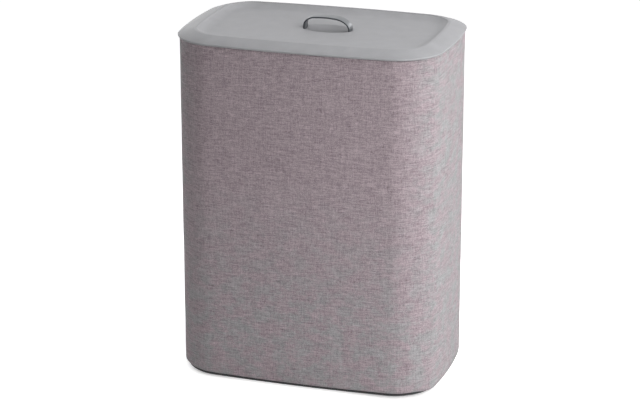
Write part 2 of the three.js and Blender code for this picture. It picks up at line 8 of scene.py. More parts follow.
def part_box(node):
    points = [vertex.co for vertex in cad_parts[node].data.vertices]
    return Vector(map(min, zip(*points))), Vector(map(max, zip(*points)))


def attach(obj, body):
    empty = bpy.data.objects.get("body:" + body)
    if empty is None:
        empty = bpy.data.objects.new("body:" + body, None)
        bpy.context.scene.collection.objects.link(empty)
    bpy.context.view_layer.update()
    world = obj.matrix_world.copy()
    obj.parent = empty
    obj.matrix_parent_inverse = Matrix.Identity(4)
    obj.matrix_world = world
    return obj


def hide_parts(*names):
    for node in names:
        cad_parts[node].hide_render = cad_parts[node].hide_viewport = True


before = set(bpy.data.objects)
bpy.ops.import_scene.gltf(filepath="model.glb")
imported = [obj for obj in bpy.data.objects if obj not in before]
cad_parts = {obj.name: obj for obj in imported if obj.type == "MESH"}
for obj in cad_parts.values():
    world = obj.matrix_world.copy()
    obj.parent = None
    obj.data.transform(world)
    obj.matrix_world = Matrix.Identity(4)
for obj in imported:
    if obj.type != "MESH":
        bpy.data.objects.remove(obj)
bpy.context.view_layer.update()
print("frame loaded:", len(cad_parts), "nodes")

# Sizes below are in millimetres where no note says metres, and finished meshes are in metres
millimetre = 0.001
screwHole = 2.0  # radius


def heightsOf(node):
    low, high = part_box(node)
    return low.z / millimetre, high.z / millimetre


# Camera

view = {
    "target": (0, 0, 306),
    "distance": 4174,
    "azimuth": 17.256,
    "elevation": 18.759,
    "roll": -0.025,
    "lens": 134.08,
    "sensor": 36,
    "shift": (-0.0048, -0.0119),
    "farthest": 100,  # metres
}


def towards(azimuth, elevation):
    # a direction in degrees round from the hamper's front, and up
    azimuth, elevation = math.radians(azimuth), math.radians(elevation)
    return Vector((
        math.sin(azimuth) * math.cos(elevation),
        -math.cos(azimuth) * math.cos(elevation),
        math.sin(elevation),
    ))


def addObject(name, data):
    made = bpy.data.objects.new(name, data)
    bpy.context.scene.collection.objects.link(made)
    return made


def placeCamera():
    back = towards(view["azimuth"], view["elevation"])
    data = bpy.data.cameras.new("camera")
    data.lens = view["lens"]
    data.sensor_width = view["sensor"]
    data.shift_x, data.shift_y = view["shift"]
    data.clip_end = view["farthest"]
    turn = (-back).to_track_quat("-Z", "Y").to_matrix().to_4x4()
    roll = Matrix.Rotation(math.radians(view["roll"]), 4, "Z")
    place = (Vector(view["target"]) + back * view["distance"]) * millimetre
    camera = addObject("camera", data)
    camera.matrix_world = Matrix.Translation(place) @ turn @ roll
    bpy.context.scene.camera = camera


placeCamera()
print("camera placed")

# Mesh helpers


def newObject(name, mesh):
    # the bmesh becomes an object in metres with its faces pointing out
    bmesh.ops.scale(mesh, vec=(millimetre,) * 3, verts=mesh.verts)
    bmesh.ops.recalc_face_normals(mesh, faces=mesh.faces)
    data = bpy.data.meshes.new(name)
    mesh.to_mesh(data)
    mesh.free()
    return addObject(name, data)


def combine(piece, operation, mesh):
    # the result of the boolean stays in the piece's own mesh
    tool = newObject("tool", mesh)
    change = piece.modifiers.new("combine", "BOOLEAN")
    change.operation = operation
    change.solver = "EXACT"
    change.object = tool
    bpy.context.view_layer.update()
    graph = bpy.context.evaluated_depsgraph_get()
    result = bpy.data.meshes.new_from_object(piece.evaluated_get(graph))
    piece.modifiers.clear()
    piece.data = result
    bpy.data.objects.remove(tool)


def join(piece, mesh):
    combine(piece, "UNION", mesh)


def cut(piece, mesh):
    combine(piece, "DIFFERENCE", mesh)


def dress(piece, body, finish, replaced, sharpAngle=38):
    piece.data.materials.clear()
    piece.data.materials.append(finish)
    piece.data.shade_smooth()
    piece.data.set_sharp_from_angle(angle=math.radians(sharpAngle))
    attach(piece, body)
    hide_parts(*replaced)


def rounded(corners, closed=False, steps=4):
    # [inset, height] points from [inset, height, radius] corners
    points = []
    count = len(corners)
    for index, (inset, height, radius) in enumerate(corners):
        corner = Vector((inset, height))
        isEnd = not closed and index in (0, count - 1)
        if radius == 0 or isEnd:
            points.append(corner)
            continue
        toBefore = Vector(corners[index - 1][:2]) - corner
        toAfter = Vector(corners[(index + 1) % count][:2]) - corner
        halfAngle = toBefore.angle(toAfter) / 2
        reach = radius / math.tan(halfAngle)
        start = corner + toBefore.normalized() * reach
        end = corner + toAfter.normalized() * reach
        middle = (toBefore.normalized() + toAfter.normalized()).normalized()
        centre = corner + middle * (radius / math.sin(halfAngle))
        turning = math.pi - 2 * halfAngle
        for step in range(steps + 1):
            share = step / steps
            fromStart = math.sin((1 - share) * turning) / math.sin(turning)
            fromEnd = math.sin(share * turning) / math.sin(turning)
            points.append(centre + (start - centre) * fromStart + (end - centre) * fromEnd)
    return points


def withRows(profile, spacing):
    # the same line with extra points on its long stretches
    points = [profile[0]]
    for before, after in zip(profile, profile[1:]):
        rows = max(1, round((after - before).length / spacing))
        for row in range(1, rows + 1):
            points.append(before.lerp(after, row / rows))
    return points


def loft(mesh, rings, around=None, closed=False):
    # the first ring is a circle moved into place and each next one is extruded from the last
    count = len(rings[0])
    around = around or [index / count for index in range(count + 1)]
    layer = mesh.loops.layers.uv.verify()
    ring = bmesh.ops.create_circle(mesh, segments=count, radius=1)["verts"]
    for vert, point in zip(ring, rings[0]):
        vert.co = point
    first = ring
    marks = {vert: (index, 0) for index, vert in enumerate(ring)}
    travelled = 0
    following = rings[1:] + (rings[:1] if closed else [])
    for before, points in zip(rings, following):
        travelled += max((b - a).length for a, b in zip(before, points)) * millimetre
        edges = [mesh.edges.get((ring[index - 1], ring[index])) for index in range(count)]
        made = bmesh.ops.extrude_edge_only(mesh, edges=edges)["geom"]
        fresh = {item for item in made if isinstance(item, bmesh.types.BMVert)}
        ring = [
            next(other for other in (edge.other_vert(vert) for edge in vert.link_edges)
                 if other in fresh)
            for vert in ring
        ]
        for index, (vert, point) in enumerate(zip(ring, points)):
            vert.co = point
            marks[vert] = (index, travelled)
        for face in (item for item in made if isinstance(item, bmesh.types.BMFace)):
            places = [marks[corner.vert][0] for corner in face.loops]
            crossesSeam = 0 in places and count - 1 in places
            for corner in face.loops:
                place, height = marks[corner.vert]
                place = count if crossesSeam and place == 0 else place
                corner[layer].uv = (around[place], height)
    if closed:
        bmesh.ops.remove_doubles(mesh, verts=first + ring, dist=0.0005)
    return first, ring


def closeFlat(mesh, *rings):
    for ring in rings:
        edges = [mesh.edges.get((ring[index - 1], ring[index])) for index in range(len(ring))]
        bmesh.ops.contextual_create(mesh, geom=edges)


def closeToPoint(mesh, ring):
    middle = sum((vert.co for vert in ring), Vector()) / len(ring)
    bmesh.ops.pointmerge(mesh, verts=ring, merge_co=middle)


def spin(mesh, outline, steps):
    # turns a line of [radius, height] points about the upright axis
    verts = [mesh.verts.new((radius, 0, height)) for radius, height in outline]
    edges = [mesh.edges.new(pair) for pair in zip(verts, verts[1:])]
    bmesh.ops.spin(
        mesh, geom=verts + edges, cent=(0, 0, 0), axis=(0, 0, 1), angle=2 * math.pi,
        steps=steps, use_merge=True, use_duplicate=False,
    )
    bmesh.ops.remove_doubles(mesh, verts=mesh.verts, dist=0.0005)


def ease(mesh, edges, width):
    bmesh.ops.bevel(
        mesh, geom=list(edges), offset=width, segments=3, profile=0.5, affect="EDGES",
        material=-1,
    )


def addBar(mesh, radius, length, matrix, sides=40):
    # a round or a many-sided bar about its own middle
    return bmesh.ops.create_cone(
        mesh, cap_ends=True, segments=sides, radius1=radius, radius2=radius, depth=length,
        matrix=matrix,
    )["verts"]


def rods(places, radius, bottom, top, edge=0.0):
    # upright round bars at several places, their top edge eased
    mesh = bmesh.new()
    middle = (bottom + top) / 2
    for x, y in places:
        made = addBar(mesh, radius, top - bottom, Matrix.Translation((x, y, middle)))
        if edge:
            links = {link for vert in made for link in vert.link_edges}
            rim = [link for link in links if all(end.co.z > middle for end in link.verts)]
            ease(mesh, rim, edge)
    return mesh


def blocks(places, size, edge, uprightOnly=False):
    # boxes of one size at several places, with eased edges
    mesh = bmesh.new()
    for place in places:
        matrix = Matrix.Translation(place) @ Matrix.Diagonal((*size, 1))
        made = bmesh.ops.create_cube(mesh, size=1, matrix=matrix)["verts"]
        edges = {link for vert in made for link in vert.link_edges}
        if uprightOnly:
            edges = {link for link in edges
                     if abs(link.verts[0].co.z - link.verts[1].co.z) > size[2] / 2}
        ease(mesh, edges, edge)
    return mesh


def onSide(mesh, side):
    # the bins are made on the right, and the left one is a mirror image
    bmesh.ops.scale(mesh, vec=(side, 1, 1), verts=mesh.verts)
    return mesh


# The outline that the lid, the cover and the carcass share, seen from above

plan = {
    "width": 474,
    "depth": 310,
    "sideBow": 13.6,  # how far the middle of a short side stands out
    "frontBow": 10.9,
    "cornerRadius": 63,
    "points": 208,  # round each loft
}


def fillLine(points, spacing=3.0):
    # extra points on the long stretches of a closed line
    filled = []
    for index, point in enumerate(points):
        following = points[(index + 1) % len(points)]
        parts = max(1, math.ceil((following - point).length / spacing))
        filled += [point.lerp(following, part / parts) for part in range(parts)]
    return filled


def arcPoints(centre, radius, start, end, steps=30):
    angles = [math.radians(start + (end - start) * step / steps) for step in range(steps + 1)]
    return [centre + Vector((math.cos(angle), math.sin(angle))) * radius for angle in angles]


def lidOutline():
    # anticlockwise from the middle of the back
    halfX = plan["width"] / 2 - plan["sideBow"]
    halfY = plan["depth"] / 2 - plan["frontBow"]
    radius = plan["cornerRadius"]
    points = [Vector((0, halfY))]
    for index, (signX, signY) in enumerate([(-1, 1), (-1, -1), (1, -1), (1, 1)]):
        centre = Vector((signX * (halfX - radius), signY * (halfY - radius)))
        points += arcPoints(centre, radius, 90 * (index + 1), 90 * (index + 2))
    return [
        Vector((
            point.x * (1 + plan["sideBow"] / halfX * (1 - (point.y / halfY) ** 2)),
            point.y * (1 + plan["frontBow"] / halfY * (1 - (point.x / halfX) ** 2)),
        ))
        for point in fillLine(points)
    ]


def outwardAt(points):
    # the direction out of a closed anticlockwise line at each of its points
    normals = []
    for index in range(len(points)):
        along = points[(index + 1) % len(points)] - points[index - 1]
        normals.append(Vector((along.y, -along.x)).normalized())
    return normals


def evenTrack(points, count):
    # even steps along a closed line: places, directions out of it, and distances in metres
    normals = outwardAt(points)
    closedPoints = points + points[:1]
    lengths = [0.0]
    for before, after in zip(closedPoints, closedPoints[1:]):
        lengths.append(lengths[-1] + (after - before).length)
    places, directions = [], []
    segment = 0
    for step in range(count):
        wanted = lengths[-1] * step / count
        while lengths[segment + 1] < wanted:
            segment += 1
        share = (wanted - lengths[segment]) / (lengths[segment + 1] - lengths[segment])
        places.append(closedPoints[segment].lerp(closedPoints[segment + 1], share))
        following = normals[(segment + 1) % len(normals)]
        directions.append(normals[segment].lerp(following, share).normalized())
    around = [lengths[-1] * step / count * millimetre for step in range(count + 1)]
    return {"places": places, "directions": directions, "around": around}


def ringAt(track, inset, height):
    return [
        Vector((*(place - direction * inset), height))
        for place, direction in zip(track["places"], track["directions"])
    ]


def allRound(name, track, profile, closed=False, side=1):
    # one profile all the way round; an open one is closed flat at both ends
    mesh = bmesh.new()
    ends = loft(mesh, [ringAt(track, *point) for point in profile], track["around"], closed)
    if not closed:
        closeFlat(mesh, *ends)
    return newObject(name, onSide(mesh, side))


def barSection(width, low, high, edge, steps=4):
    return rounded([
        (-width / 2, low, edge),
        (width / 2, low, edge),
        (width / 2, high, edge),
        (-width / 2, high, edge),
    ], closed=True, steps=steps)


def sweep(name, line, section, placeAt, side=1):
    # carries a section along a line; placeAt says where each of its corners comes
    rings = []
    for index, point in enumerate(line):
        before = line[max(index - 1, 0)]
        after = line[min(index + 1, len(line) - 1)]
        direction = (after - before).normalized()
        rings.append([Vector(placeAt(index, point, direction, *corner)) for corner in section])
    mesh = bmesh.new()
    closeFlat(mesh, *loft(mesh, rings))
    return newObject(name, onSide(mesh, side))


lidTrack = evenTrack(lidOutline(), plan["points"])
print("outline:", round(lidTrack["around"][-1], 3), "m round the lid")

# Materials


def shade(red, green, blue):
    # a colour as a screen shows it, turned into light
    def light(value):
        value /= 255
        return value / 12.92 if value <= 0.04045 else ((value + 0.055) / 1.055) ** 2.4
    return (light(red), light(green), light(blue), 1)


def paler(colour, factor):
    return tuple(min(1, part * factor) for part in colour[:3]) + (1,)


def mathStep(operation, swapped=False):
    # a method that puts a Math node behind a field
    def follow(field, *others):
        values = (*others, field) if swapped else (field, *others)
        return field.finish.math(operation, *values)
    return follow


class Field:
    # a shader socket that takes part in sums and products
    def __init__(self, finish, socket):
        self.finish = finish
        self.socket = socket

    __add__ = __radd__ = mathStep("ADD")
    __sub__ = mathStep("SUBTRACT")
    __rsub__ = mathStep("SUBTRACT", swapped=True)
    __mul__ = __rmul__ = mathStep("MULTIPLY")
    __truediv__ = mathStep("DIVIDE")
    __mod__ = mathStep("FLOORED_MODULO")
    __lt__ = mathStep("LESS_THAN")
    __gt__ = mathStep("GREATER_THAN")
    __abs__ = mathStep("ABSOLUTE")


class Finish:
    # the shader nodes of a material or of the world
    def __init__(self, holder, outlet):
        holder.use_nodes = True
        self.holder = holder
        self.tree = holder.node_tree
        self.tree.nodes.clear()
        self.outlet = self.tree.nodes.new("ShaderNode" + outlet)

    def add(self, kind, settings=None, values=None, output=0):
        made = self.tree.nodes.new("ShaderNode" + kind)
        for name, value in (settings or {}).items():
            setattr(made, name, value)
        for name, value in (values or {}).items():
            if isinstance(value, Field):
                self.tree.links.new(value.socket, made.inputs[name])
            else:
                made.inputs[name].default_value = value
        return Field(self, made.outputs[output])

    def show(self, field):
        self.tree.links.new(field.socket, self.outlet.inputs["Surface"])

    def surface(self, colour, roughness, normal):
        # the material, with its varying values in place
        sockets = self.shader.socket.node.inputs
        self.tree.links.new(colour.socket, sockets["Base Color"])
        if roughness:
            self.tree.links.new(roughness.socket, sockets["Roughness"])
        self.tree.links.new(normal.socket, sockets["Normal"])
        return self.holder

    def math(self, operation, *values):
        return self.add("Math", {"operation": operation}, dict(enumerate(values)))

    def floor(self, field):
        return self.math("FLOOR", field)

    def wave(self, field):
        return self.math("SINE", field)

    def higher(self, first, second):
        return self.math("MAXIMUM", first, second)

    def stretched(self, vector, scale):
        return self.add("Mapping", None, {"Vector": vector, "Scale": scale})

    def coordinates(self, output):
        # Object or UV coordinates in millimetres
        return self.stretched(self.add("TexCoord", None, None, output), (1 / millimetre,) * 3)

    def split(self, vector):
        parts = self.add("SeparateXYZ", None, {"Vector": vector})
        return [Field(self, output) for output in parts.socket.node.outputs]

    def cloud(self, vector, size, detail=2.0, roughness=0.5):
        # noise whose lumps are about so many millimetres across
        return self.add("TexNoise", None, {
            "Vector": vector, "Scale": 1 / size, "Detail": detail, "Roughness": roughness,
        })

    def streaks(self, x, y, place, detail=2.0, roughness=0.6):
        # noise over two distances; another place gives another pattern
        vector = self.add("CombineXYZ", None, {"X": x, "Y": y, "Z": place})
        return self.cloud(vector, 1.0, detail, roughness)

    def weave(self, u, v, pitch):
        # plain weave: where the warp lies on top, the threads' crowns and their numbers
        warp, weft = u / pitch, v / pitch
        warpIndex, weftIndex = self.floor(warp), self.floor(weft)
        over = (warpIndex + weftIndex) % 2
        crown = abs(self.wave(warp * math.pi)) * over
        crown += abs(self.wave(weft * math.pi)) * (1 - over)
        return over, crown, warpIndex, weftIndex

    def spread(self, field, low, high, start=0.0, end=1.0):
        return self.add("MapRange", None, {
            "Value": field, "From Min": low, "From Max": high, "To Min": start, "To Max": end,
        })

    def blend(self, mask, first, second):
        return self.add("Mix", {"data_type": "RGBA"}, {0: mask, 6: first, 7: second}, 2)

    def relief(self, field, depth, before=None):
        # a bump of so many millimetres where the field goes from 0 to 1
        values = {"Height": field, "Distance": depth * millimetre}
        if before:
            values["Normal"] = before
        return self.add("Bump", None, values)

    def seenDirectly(self):
        # 1 for what the camera sees, also in a reflection or through glass
        outputs = self.add("LightPath").socket.node.outputs
        names = ("Is Camera Ray", "Is Glossy Ray", "Is Transmission Ray")
        camera, glossy, passed = [Field(self, outputs[name]) for name in names]
        return self.higher(self.higher(camera, glossy), passed)


def newFinish(name, constants):
    # constants are values on the Principled shader's own sockets
    finish = Finish(bpy.data.materials.new(name), "OutputMaterial")
    finish.shader = finish.add("BsdfPrincipled", None, constants)
    finish.show(finish.shader)
    return finish


melange = {
    "pitch": 0.8,  # from thread to thread
    "slubWidth": 1.1,
    "stretch": 6.0,  # length of a darker or paler stretch of a thread
    "slub": 22.0,
    "apart": (0.73, 0.61),  # how far neighbouring threads and slubs lie apart in the noise
    "patch": 30.0,
    "dark": shade(130, 114, 121),
    "pale": shade(218, 201, 207),
    "grey": shade(128, 130, 131),
    "paleGrey": shade(204, 206, 207),
    "greyLow": (120, 390),  # up the cloth, from the most grey to none
    "greyBeside": (170, 90),  # from the middle of a short side, from no grey to the most
    "threadDepth": 0.22,
}
backSeam = {
    "half": (0.5, 1.4),
    "fold": (7.5, 6.5),
    "stitchLine": 5.5,
    "stitchHalf": 0.35,
    "stitchPitch": 4.2,
    "stitchLength": 3.1,
    "stitch": shade(120, 112, 116),
    "colour": shade(92, 84, 88),
    "depth": 0.8,
}


def melangeFinish(length):
    finish = newFinish("melangeFabric", {
        "Roughness": 0.92, "Sheen Weight": 0.25, "Sheen Roughness": 0.5,
        "Specular IOR Level": 0.25,
    })
    cloth = finish.coordinates("UV")
    u, v = finish.split(cloth)[:2]
    over, crown, warpIndex, weftIndex = finish.weave(u, v, melange["pitch"])
    threadApart, slubApart = melange["apart"]
    reach = 1 / melange["stretch"]
    warpTone = finish.streaks(warpIndex * threadApart, v * reach, 3.1)
    weftTone = finish.streaks(u * reach, weftIndex * threadApart, 8.7)
    threads = warpTone * over + weftTone * (1 - over)
    # thicker slubs run for a couple of centimetres, along the rows more than up the cloth
    reach = 1 / melange["slub"]
    row = finish.floor(v / melange["slubWidth"])
    column = finish.floor(u / melange["slubWidth"])
    level = finish.streaks(u * reach, row * slubApart, 5.2, 1.5)
    upright = finish.streaks(column * slubApart, v * reach, 9.4, 1.5)
    lumps = finish.cloud(cloth, 1.3, 2.0, 0.6)
    tone = threads * 0.36 + level * 0.2 + upright * 0.12 + lumps * 0.32
    tone = finish.spread(tone, 0.4, 0.6)
    colour = finish.blend(tone, melange["dark"], melange["pale"])
    # the mauve turns to grey in soft flecked patches, mostly low down and on the short sides
    patches = finish.cloud(finish.stretched(cloth, (1, 1.3, 1)), melange["patch"], 3.0, 0.55)
    low = finish.spread(v, *melange["greyLow"], 0.78, 0.0)
    quarter = length / 4 / millimetre
    fromSide = abs(abs(u - quarter * 2) - quarter)
    beside = finish.spread(fromSide, *melange["greyBeside"], 0.0, 0.95)
    flecks = finish.streaks(u * 0.22, v * 0.8, 2.6)
    patchMask = finish.spread(patches * 0.66 + flecks * 0.34, 0.44, 0.57)
    patchMask = patchMask * finish.higher(low, beside)
    greyed = finish.blend(tone, melange["grey"], melange["paleGrey"])
    colour = finish.blend(patchMask, colour, greyed)
    # the seam down the back, with its fold and a row of stitches on each side
    fromSeam = finish.math("MINIMUM", u, length / millimetre - u)
    seam = finish.spread(fromSeam, *backSeam["half"])
    ridge = finish.spread(fromSeam, *backSeam["fold"])
    stitchGap = (v % backSeam["stitchPitch"]) > backSeam["stitchLength"]
    onLine = abs(fromSeam - backSeam["stitchLine"]) < backSeam["stitchHalf"]
    stitches = onLine * (1 - stitchGap)
    colour = finish.blend(stitches * 0.6, colour, backSeam["stitch"])
    colour = finish.blend((1 - seam) * 0.55, colour, backSeam["colour"])
    fold = finish.relief(ridge * 0.5 + seam * 0.5 - stitches * 0.3, backSeam["depth"])
    threads = finish.relief(crown * 0.8 + tone * 0.2, melange["threadDepth"], fold)
    return finish.surface(colour, None, threads)


lidPlastic = {
    "colour": shade(169, 169, 172),
    "scuff": shade(177, 177, 180),
    "speck": shade(150, 151, 154),
    "grain": 0.55,
    "grainDepth": 0.035,
    "dimplePitch": 2.5,
    "dimpleDepth": 0.12,
}


def lidFinish(floorHeight):
    finish = newFinish("lidPlastic", {"Specular IOR Level": 0.42, "IOR": 1.49})
    place = finish.coordinates("Object")
    x, y, z = finish.split(place)
    mottle = finish.cloud(place, 24.0, 3.0)
    colour = finish.blend(finish.spread(mottle, 0.3, 0.7), lidPlastic["colour"],
                          lidPlastic["scuff"])
    specks = finish.cloud(place, 0.9, 1.0)
    speckMask = finish.spread(specks, 0.62, 0.75, 0, 0.25)
    colour = finish.blend(speckMask, colour, lidPlastic["speck"])
    roughness = finish.spread(mottle, 0.3, 0.7, 0.5, 0.6)
    grain = finish.relief(finish.cloud(place, lidPlastic["grain"], 2.0), lidPlastic["grainDepth"])
    turn = 2 * math.pi / lidPlastic["dimplePitch"]
    dimples = finish.higher(finish.wave(x * turn) * finish.wave(y * turn), 0)
    onFloor = finish.spread(z, floorHeight + 1.2, floorHeight + 0.4)
    onFloor = onFloor * finish.spread(z, floorHeight - 0.6, floorHeight - 0.2)
    dimpled = finish.relief(dimples * onFloor, -lidPlastic["dimpleDepth"], grain)
    return finish.surface(colour, roughness, dimpled)


def mottledFinish(name, constants, mottle, span, colours, roughness, grain, depth):
    # mottled in colour and roughness, with a fine grain; both noises are given by size and detail
    finish = newFinish(name, constants)
    place = finish.coordinates("Object")
    clouds = finish.cloud(place, *mottle)
    return finish.surface(
        finish.blend(finish.spread(clouds, *span), *colours),
        finish.spread(clouds, 0.3, 0.7, *roughness),
        finish.relief(finish.cloud(place, *grain), depth),
    )


def plasticFinish(name, colour, roughness):
    return mottledFinish(
        name, {"Specular IOR Level": 0.4, "IOR": 1.49}, (30.0, 3.0), (0.3, 0.7),
        (colour, paler(colour, 1.08)), (roughness - 0.04, roughness + 0.05), (0.7, 2.0), 0.03,
    )


def rubberFinish():
    return mottledFinish(
        "rubberFeet", {"Specular IOR Level": 0.3}, (5.0, 4.0), (0.45, 0.7),
        (shade(38, 38, 39), shade(58, 57, 56)), (0.78, 0.92), (0.8, 2.0), 0.05,
    )


def boardFinish():
    return mottledFinish(
        "boardCover", {"Specular IOR Level": 0.3}, (1.4, 3.0), (0.35, 0.7),
        (shade(64, 64, 67), shade(84, 84, 87)), (0.66, 0.8), (1.4, 3.0), 0.12,
    )


steel = {
    "colour": shade(122, 124, 127),
    # the narrow faces' colour is a painted dark reflection
    "edge": shade(76, 79, 82),
    "streak": 0.22,  # width of a brush mark
    "streakLength": 26.0,
    "depth": 0.012,
}


def brushedFinish(name, alongX=True, edges=None):
    # edges: the strap's middle and half width along Y; its two narrow faces are rougher and
    # painted darker, a painted dark reflection
    finish = newFinish(name, {"Metallic": 1.0})
    place = finish.coordinates("Object")
    fine = 1 / steel["streak"]
    long = 1 / steel["streakLength"]
    scale = (long, fine, long) if alongX else (fine, fine, long)
    marks = finish.cloud(finish.stretched(place, scale), 1.0, 3.0, 0.6)
    smears = finish.cloud(place, 14.0, 2.0)
    colour = steel["colour"]
    colour = finish.blend(finish.spread(marks, 0.3, 0.7), colour, paler(colour, 1.16))
    roughness = finish.spread(marks * 0.6 + smears * 0.4, 0.3, 0.7, 0.28, 0.42)
    if edges:
        y = finish.split(place)[1]
        middle, half = edges
        # the narrow faces get more roughness, and their colour is darkened as a painted dark
        # reflection
        roughAndPaintedDarkEdge = finish.spread(abs(y - middle), half - 0.75, half - 0.45)
        colour = finish.blend(roughAndPaintedDarkEdge, colour, steel["edge"])
        roughness = finish.higher(roughness, roughAndPaintedDarkEdge * 0.5)
    return finish.surface(colour, roughness, finish.relief(marks, steel["depth"]))


webbing = {"rib": 1.9, "yarn": 0.95, "depth": 0.35}


def webbingFinish():
    # slanting ribs across the strap, and yarns along it
    finish = newFinish("webbing", {"Sheen Weight": 0.2, "Specular IOR Level": 0.25})
    cloth = finish.coordinates("UV")
    along, across = finish.split(cloth)[:2]
    ribs = abs(finish.wave(along * (math.pi / webbing["rib"]) + across * 0.9))
    yarns = abs(finish.wave(across * (math.pi / webbing["yarn"])))
    slubs = finish.cloud(cloth, 2.2, 3.0)
    tone = finish.spread(ribs * 0.5 + slubs * 0.5, 0.3, 0.8)
    return finish.surface(
        finish.blend(tone, shade(58, 59, 62), shade(96, 97, 101)),
        finish.spread(slubs, 0.3, 0.7, 0.78, 0.9),
        finish.relief(ribs * 0.7 + yarns * 0.3, webbing["depth"]),
    )


bagCloth = {"pitch": 0.55, "threadDepth": 0.1, "crease": 42.0, "creaseDepth": 2.2}


def bagFinish(name, colour):
    # a close plain weave with a coated sheen and soft creases
    finish = newFinish(name, {"Sheen Weight": 0.12, "Specular IOR Level": 0.35})
    cloth = finish.coordinates("UV")
    u, v = finish.split(cloth)[:2]
    crown = finish.weave(u, v, bagCloth["pitch"])[1]
    slubs = finish.streaks(u * 0.15, v * 0.9, 4.0, 3.0, 0.5)
    wide = finish.cloud(cloth, 60.0, 2.0)
    tone = finish.spread(slubs * 0.6 + wide * 0.4, 0.35, 0.65)
    creases = finish.relief(
        finish.cloud(cloth, bagCloth["crease"], 3.0, 0.6), bagCloth["creaseDepth"])
    return finish.surface(
        finish.blend(tone, colour, paler(colour, 1.16)),
        finish.spread(tone, 0, 1, 0.7, 0.84),
        finish.relief(crown, bagCloth["threadDepth"], creases),
    )


# Fabric cover

cover = {
    "inset": 3.0,  # inside the lid's edge
    "thickness": 2.0,
    "turnUnder": 5.2,
    "topEdge": 0.9,
    "reachUp": 1.0,  # the cloth's top edge stands up into the lid's shadow
    "rowHeight": 13.0,
    "unevenness": 0.35,
    "lumps": ((0.02, 1), (0.055, 0.5)),  # how often to the millimetre, and how strong
    "calm": (40, 15),  # the cloth is flatter this near to its lower and its upper edge
    "sideDrop": 4.0,  # the lower edge hangs this much lower round the right side
    "dropFrom": (203.0, 224.0),
    "dropFades": 60.0,  # above the lower edge
    "dropBelow": 3.0,  # only the rows this near to the lower edge move
}


def coverDrop(point, bottom):
    # how far a point near the lower edge hangs lower, more and more towards the right
    start, end = cover["dropFrom"]
    share = min(1, max(0, (point.x - start) / (end - start)))
    above = max(0, 1 - (point.z - bottom) / cover["dropFades"])
    return cover["sideDrop"] * share ** 2 * (3 - 2 * share) * above


def makeCover():
    bottom, top = heightsOf("fabric_cover")
    top += cover["reachUp"]
    outer = cover["inset"]
    inner = outer + cover["thickness"]
    foot = outer + cover["turnUnder"]
    floor = bottom + cover["thickness"]
    profile = withRows(rounded([
        (foot, bottom, 0),
        (outer, bottom, cover["turnUnder"] - 0.2),
        (outer, top, cover["topEdge"]),
        (inner, top, 0.6),
        (inner, floor, 3.0),
        (foot, floor, 0),
    ], steps=6), cover["rowHeight"])
    calmLow, calmHigh = cover["calm"]
    rings = []
    for inset, height in profile:
        ring = ringAt(lidTrack, inset, height)
        if inset < outer + 0.001:
            # padded cloth is never quite flat
            for index, point in enumerate(ring):
                lump = sum(part * noise.noise(point * often) for often, part in cover["lumps"])
                calm = min(1, (height - bottom) / calmLow, (top - height) / calmHigh)
                offset = lidTrack["directions"][index] * lump * cover["unevenness"] * calm
                point.x += offset.x
                point.y += offset.y
        if height < bottom + cover["dropBelow"]:
            for point in ring:
                point.z -= coverDrop(point, bottom)
        rings.append(ring)
    mesh = bmesh.new()
    loft(mesh, rings, lidTrack["around"], closed=True)
    piece = newObject("fabricCover", mesh)
    finish = melangeFinish(lidTrack["around"][-1])
    dress(piece, "hamper", finish, ["fabric_cover"], 60)
    height = (top - bottom + cover["turnUnder"]) * millimetre


makeCover()
print("fabric cover made")

# Lid

lid = {
    "bottomEdge": 1.5,
    "fascia": 3.4,
    "crestInset": 27.6,
    "crestRise": 9.0,
    "crestRound": 2.4,
    "recessWidth": 28.0,
    "recessDepth": 8.0,
    "recessBend": (0.13, 0.33),  # how the wall leaves the crest and meets the floor
    "wall": 2.6,
    "lipInset": 11.9,
    "lipWall": 2.2,
    "lipDepth": 9.6,
    "seatWidth": 3.8,
    "seatHeight": 599.0,
    "crestHeight": 612.0,
    "handlePlace": (7.0, 6.0),
    "dishLength": 94.0,
    "dishWidth": 52.0,
    "dishDepth": 9.0,
    "slot": (3.1, 20.6),
    "bossRadius": 4.5,
    "bossDepth": 8.0,
}


def recessLine(insetShift, heightShift, steps=9):
    # the concave wall from the crest to the floor
    first, second = lid["recessBend"]
    points = []
    for step in range(steps + 1):
        t = step / steps
        across = 3 * (1 - t) ** 2 * t * first + 3 * (1 - t) * t ** 2 * second + t ** 3
        down = 3 * (1 - t) * t ** 2 + t ** 3
        points.append((
            lid["crestInset"] + insetShift + (lid["recessWidth"] - insetShift) * across,
            lid["crestHeight"] + heightShift - lid["recessDepth"] * down,
        ))
    return points


def dishRings(length, width, height, edged):
    # from the dish's rim to its middle; each ring meets the plan's points one by one
    centreX, centreY = lid["handlePlace"]
    floorX = plan["width"] / 2 - lid["crestInset"] - lid["recessWidth"]
    floorY = plan["depth"] / 2 - lid["crestInset"] - lid["recessWidth"]
    turns = [math.atan2(place.y / floorY, place.x / floorX) for place in lidTrack["places"]]
    shares = [0.985, 0.96, 0.92, 0.86, 0.78, 0.68, 0.56, 0.42, 0.28, 0.14, 0.02]
    steps = [(share, lid["dishDepth"] * (1 - share ** 2)) for share in shares]
    if edged:
        steps = [(1.07, 0), (1.045, 0.06), (1.02, 0.22), (1.0, 0.5)] + steps
    else:
        steps = [(1.0, 0)] + steps
    return [
        [Vector((
            centreX + length / 2 * share * math.cos(turn),
            centreY + width / 2 * share * math.sin(turn),
            height - drop,
        )) for turn in turns]
        for share, drop in steps
    ]


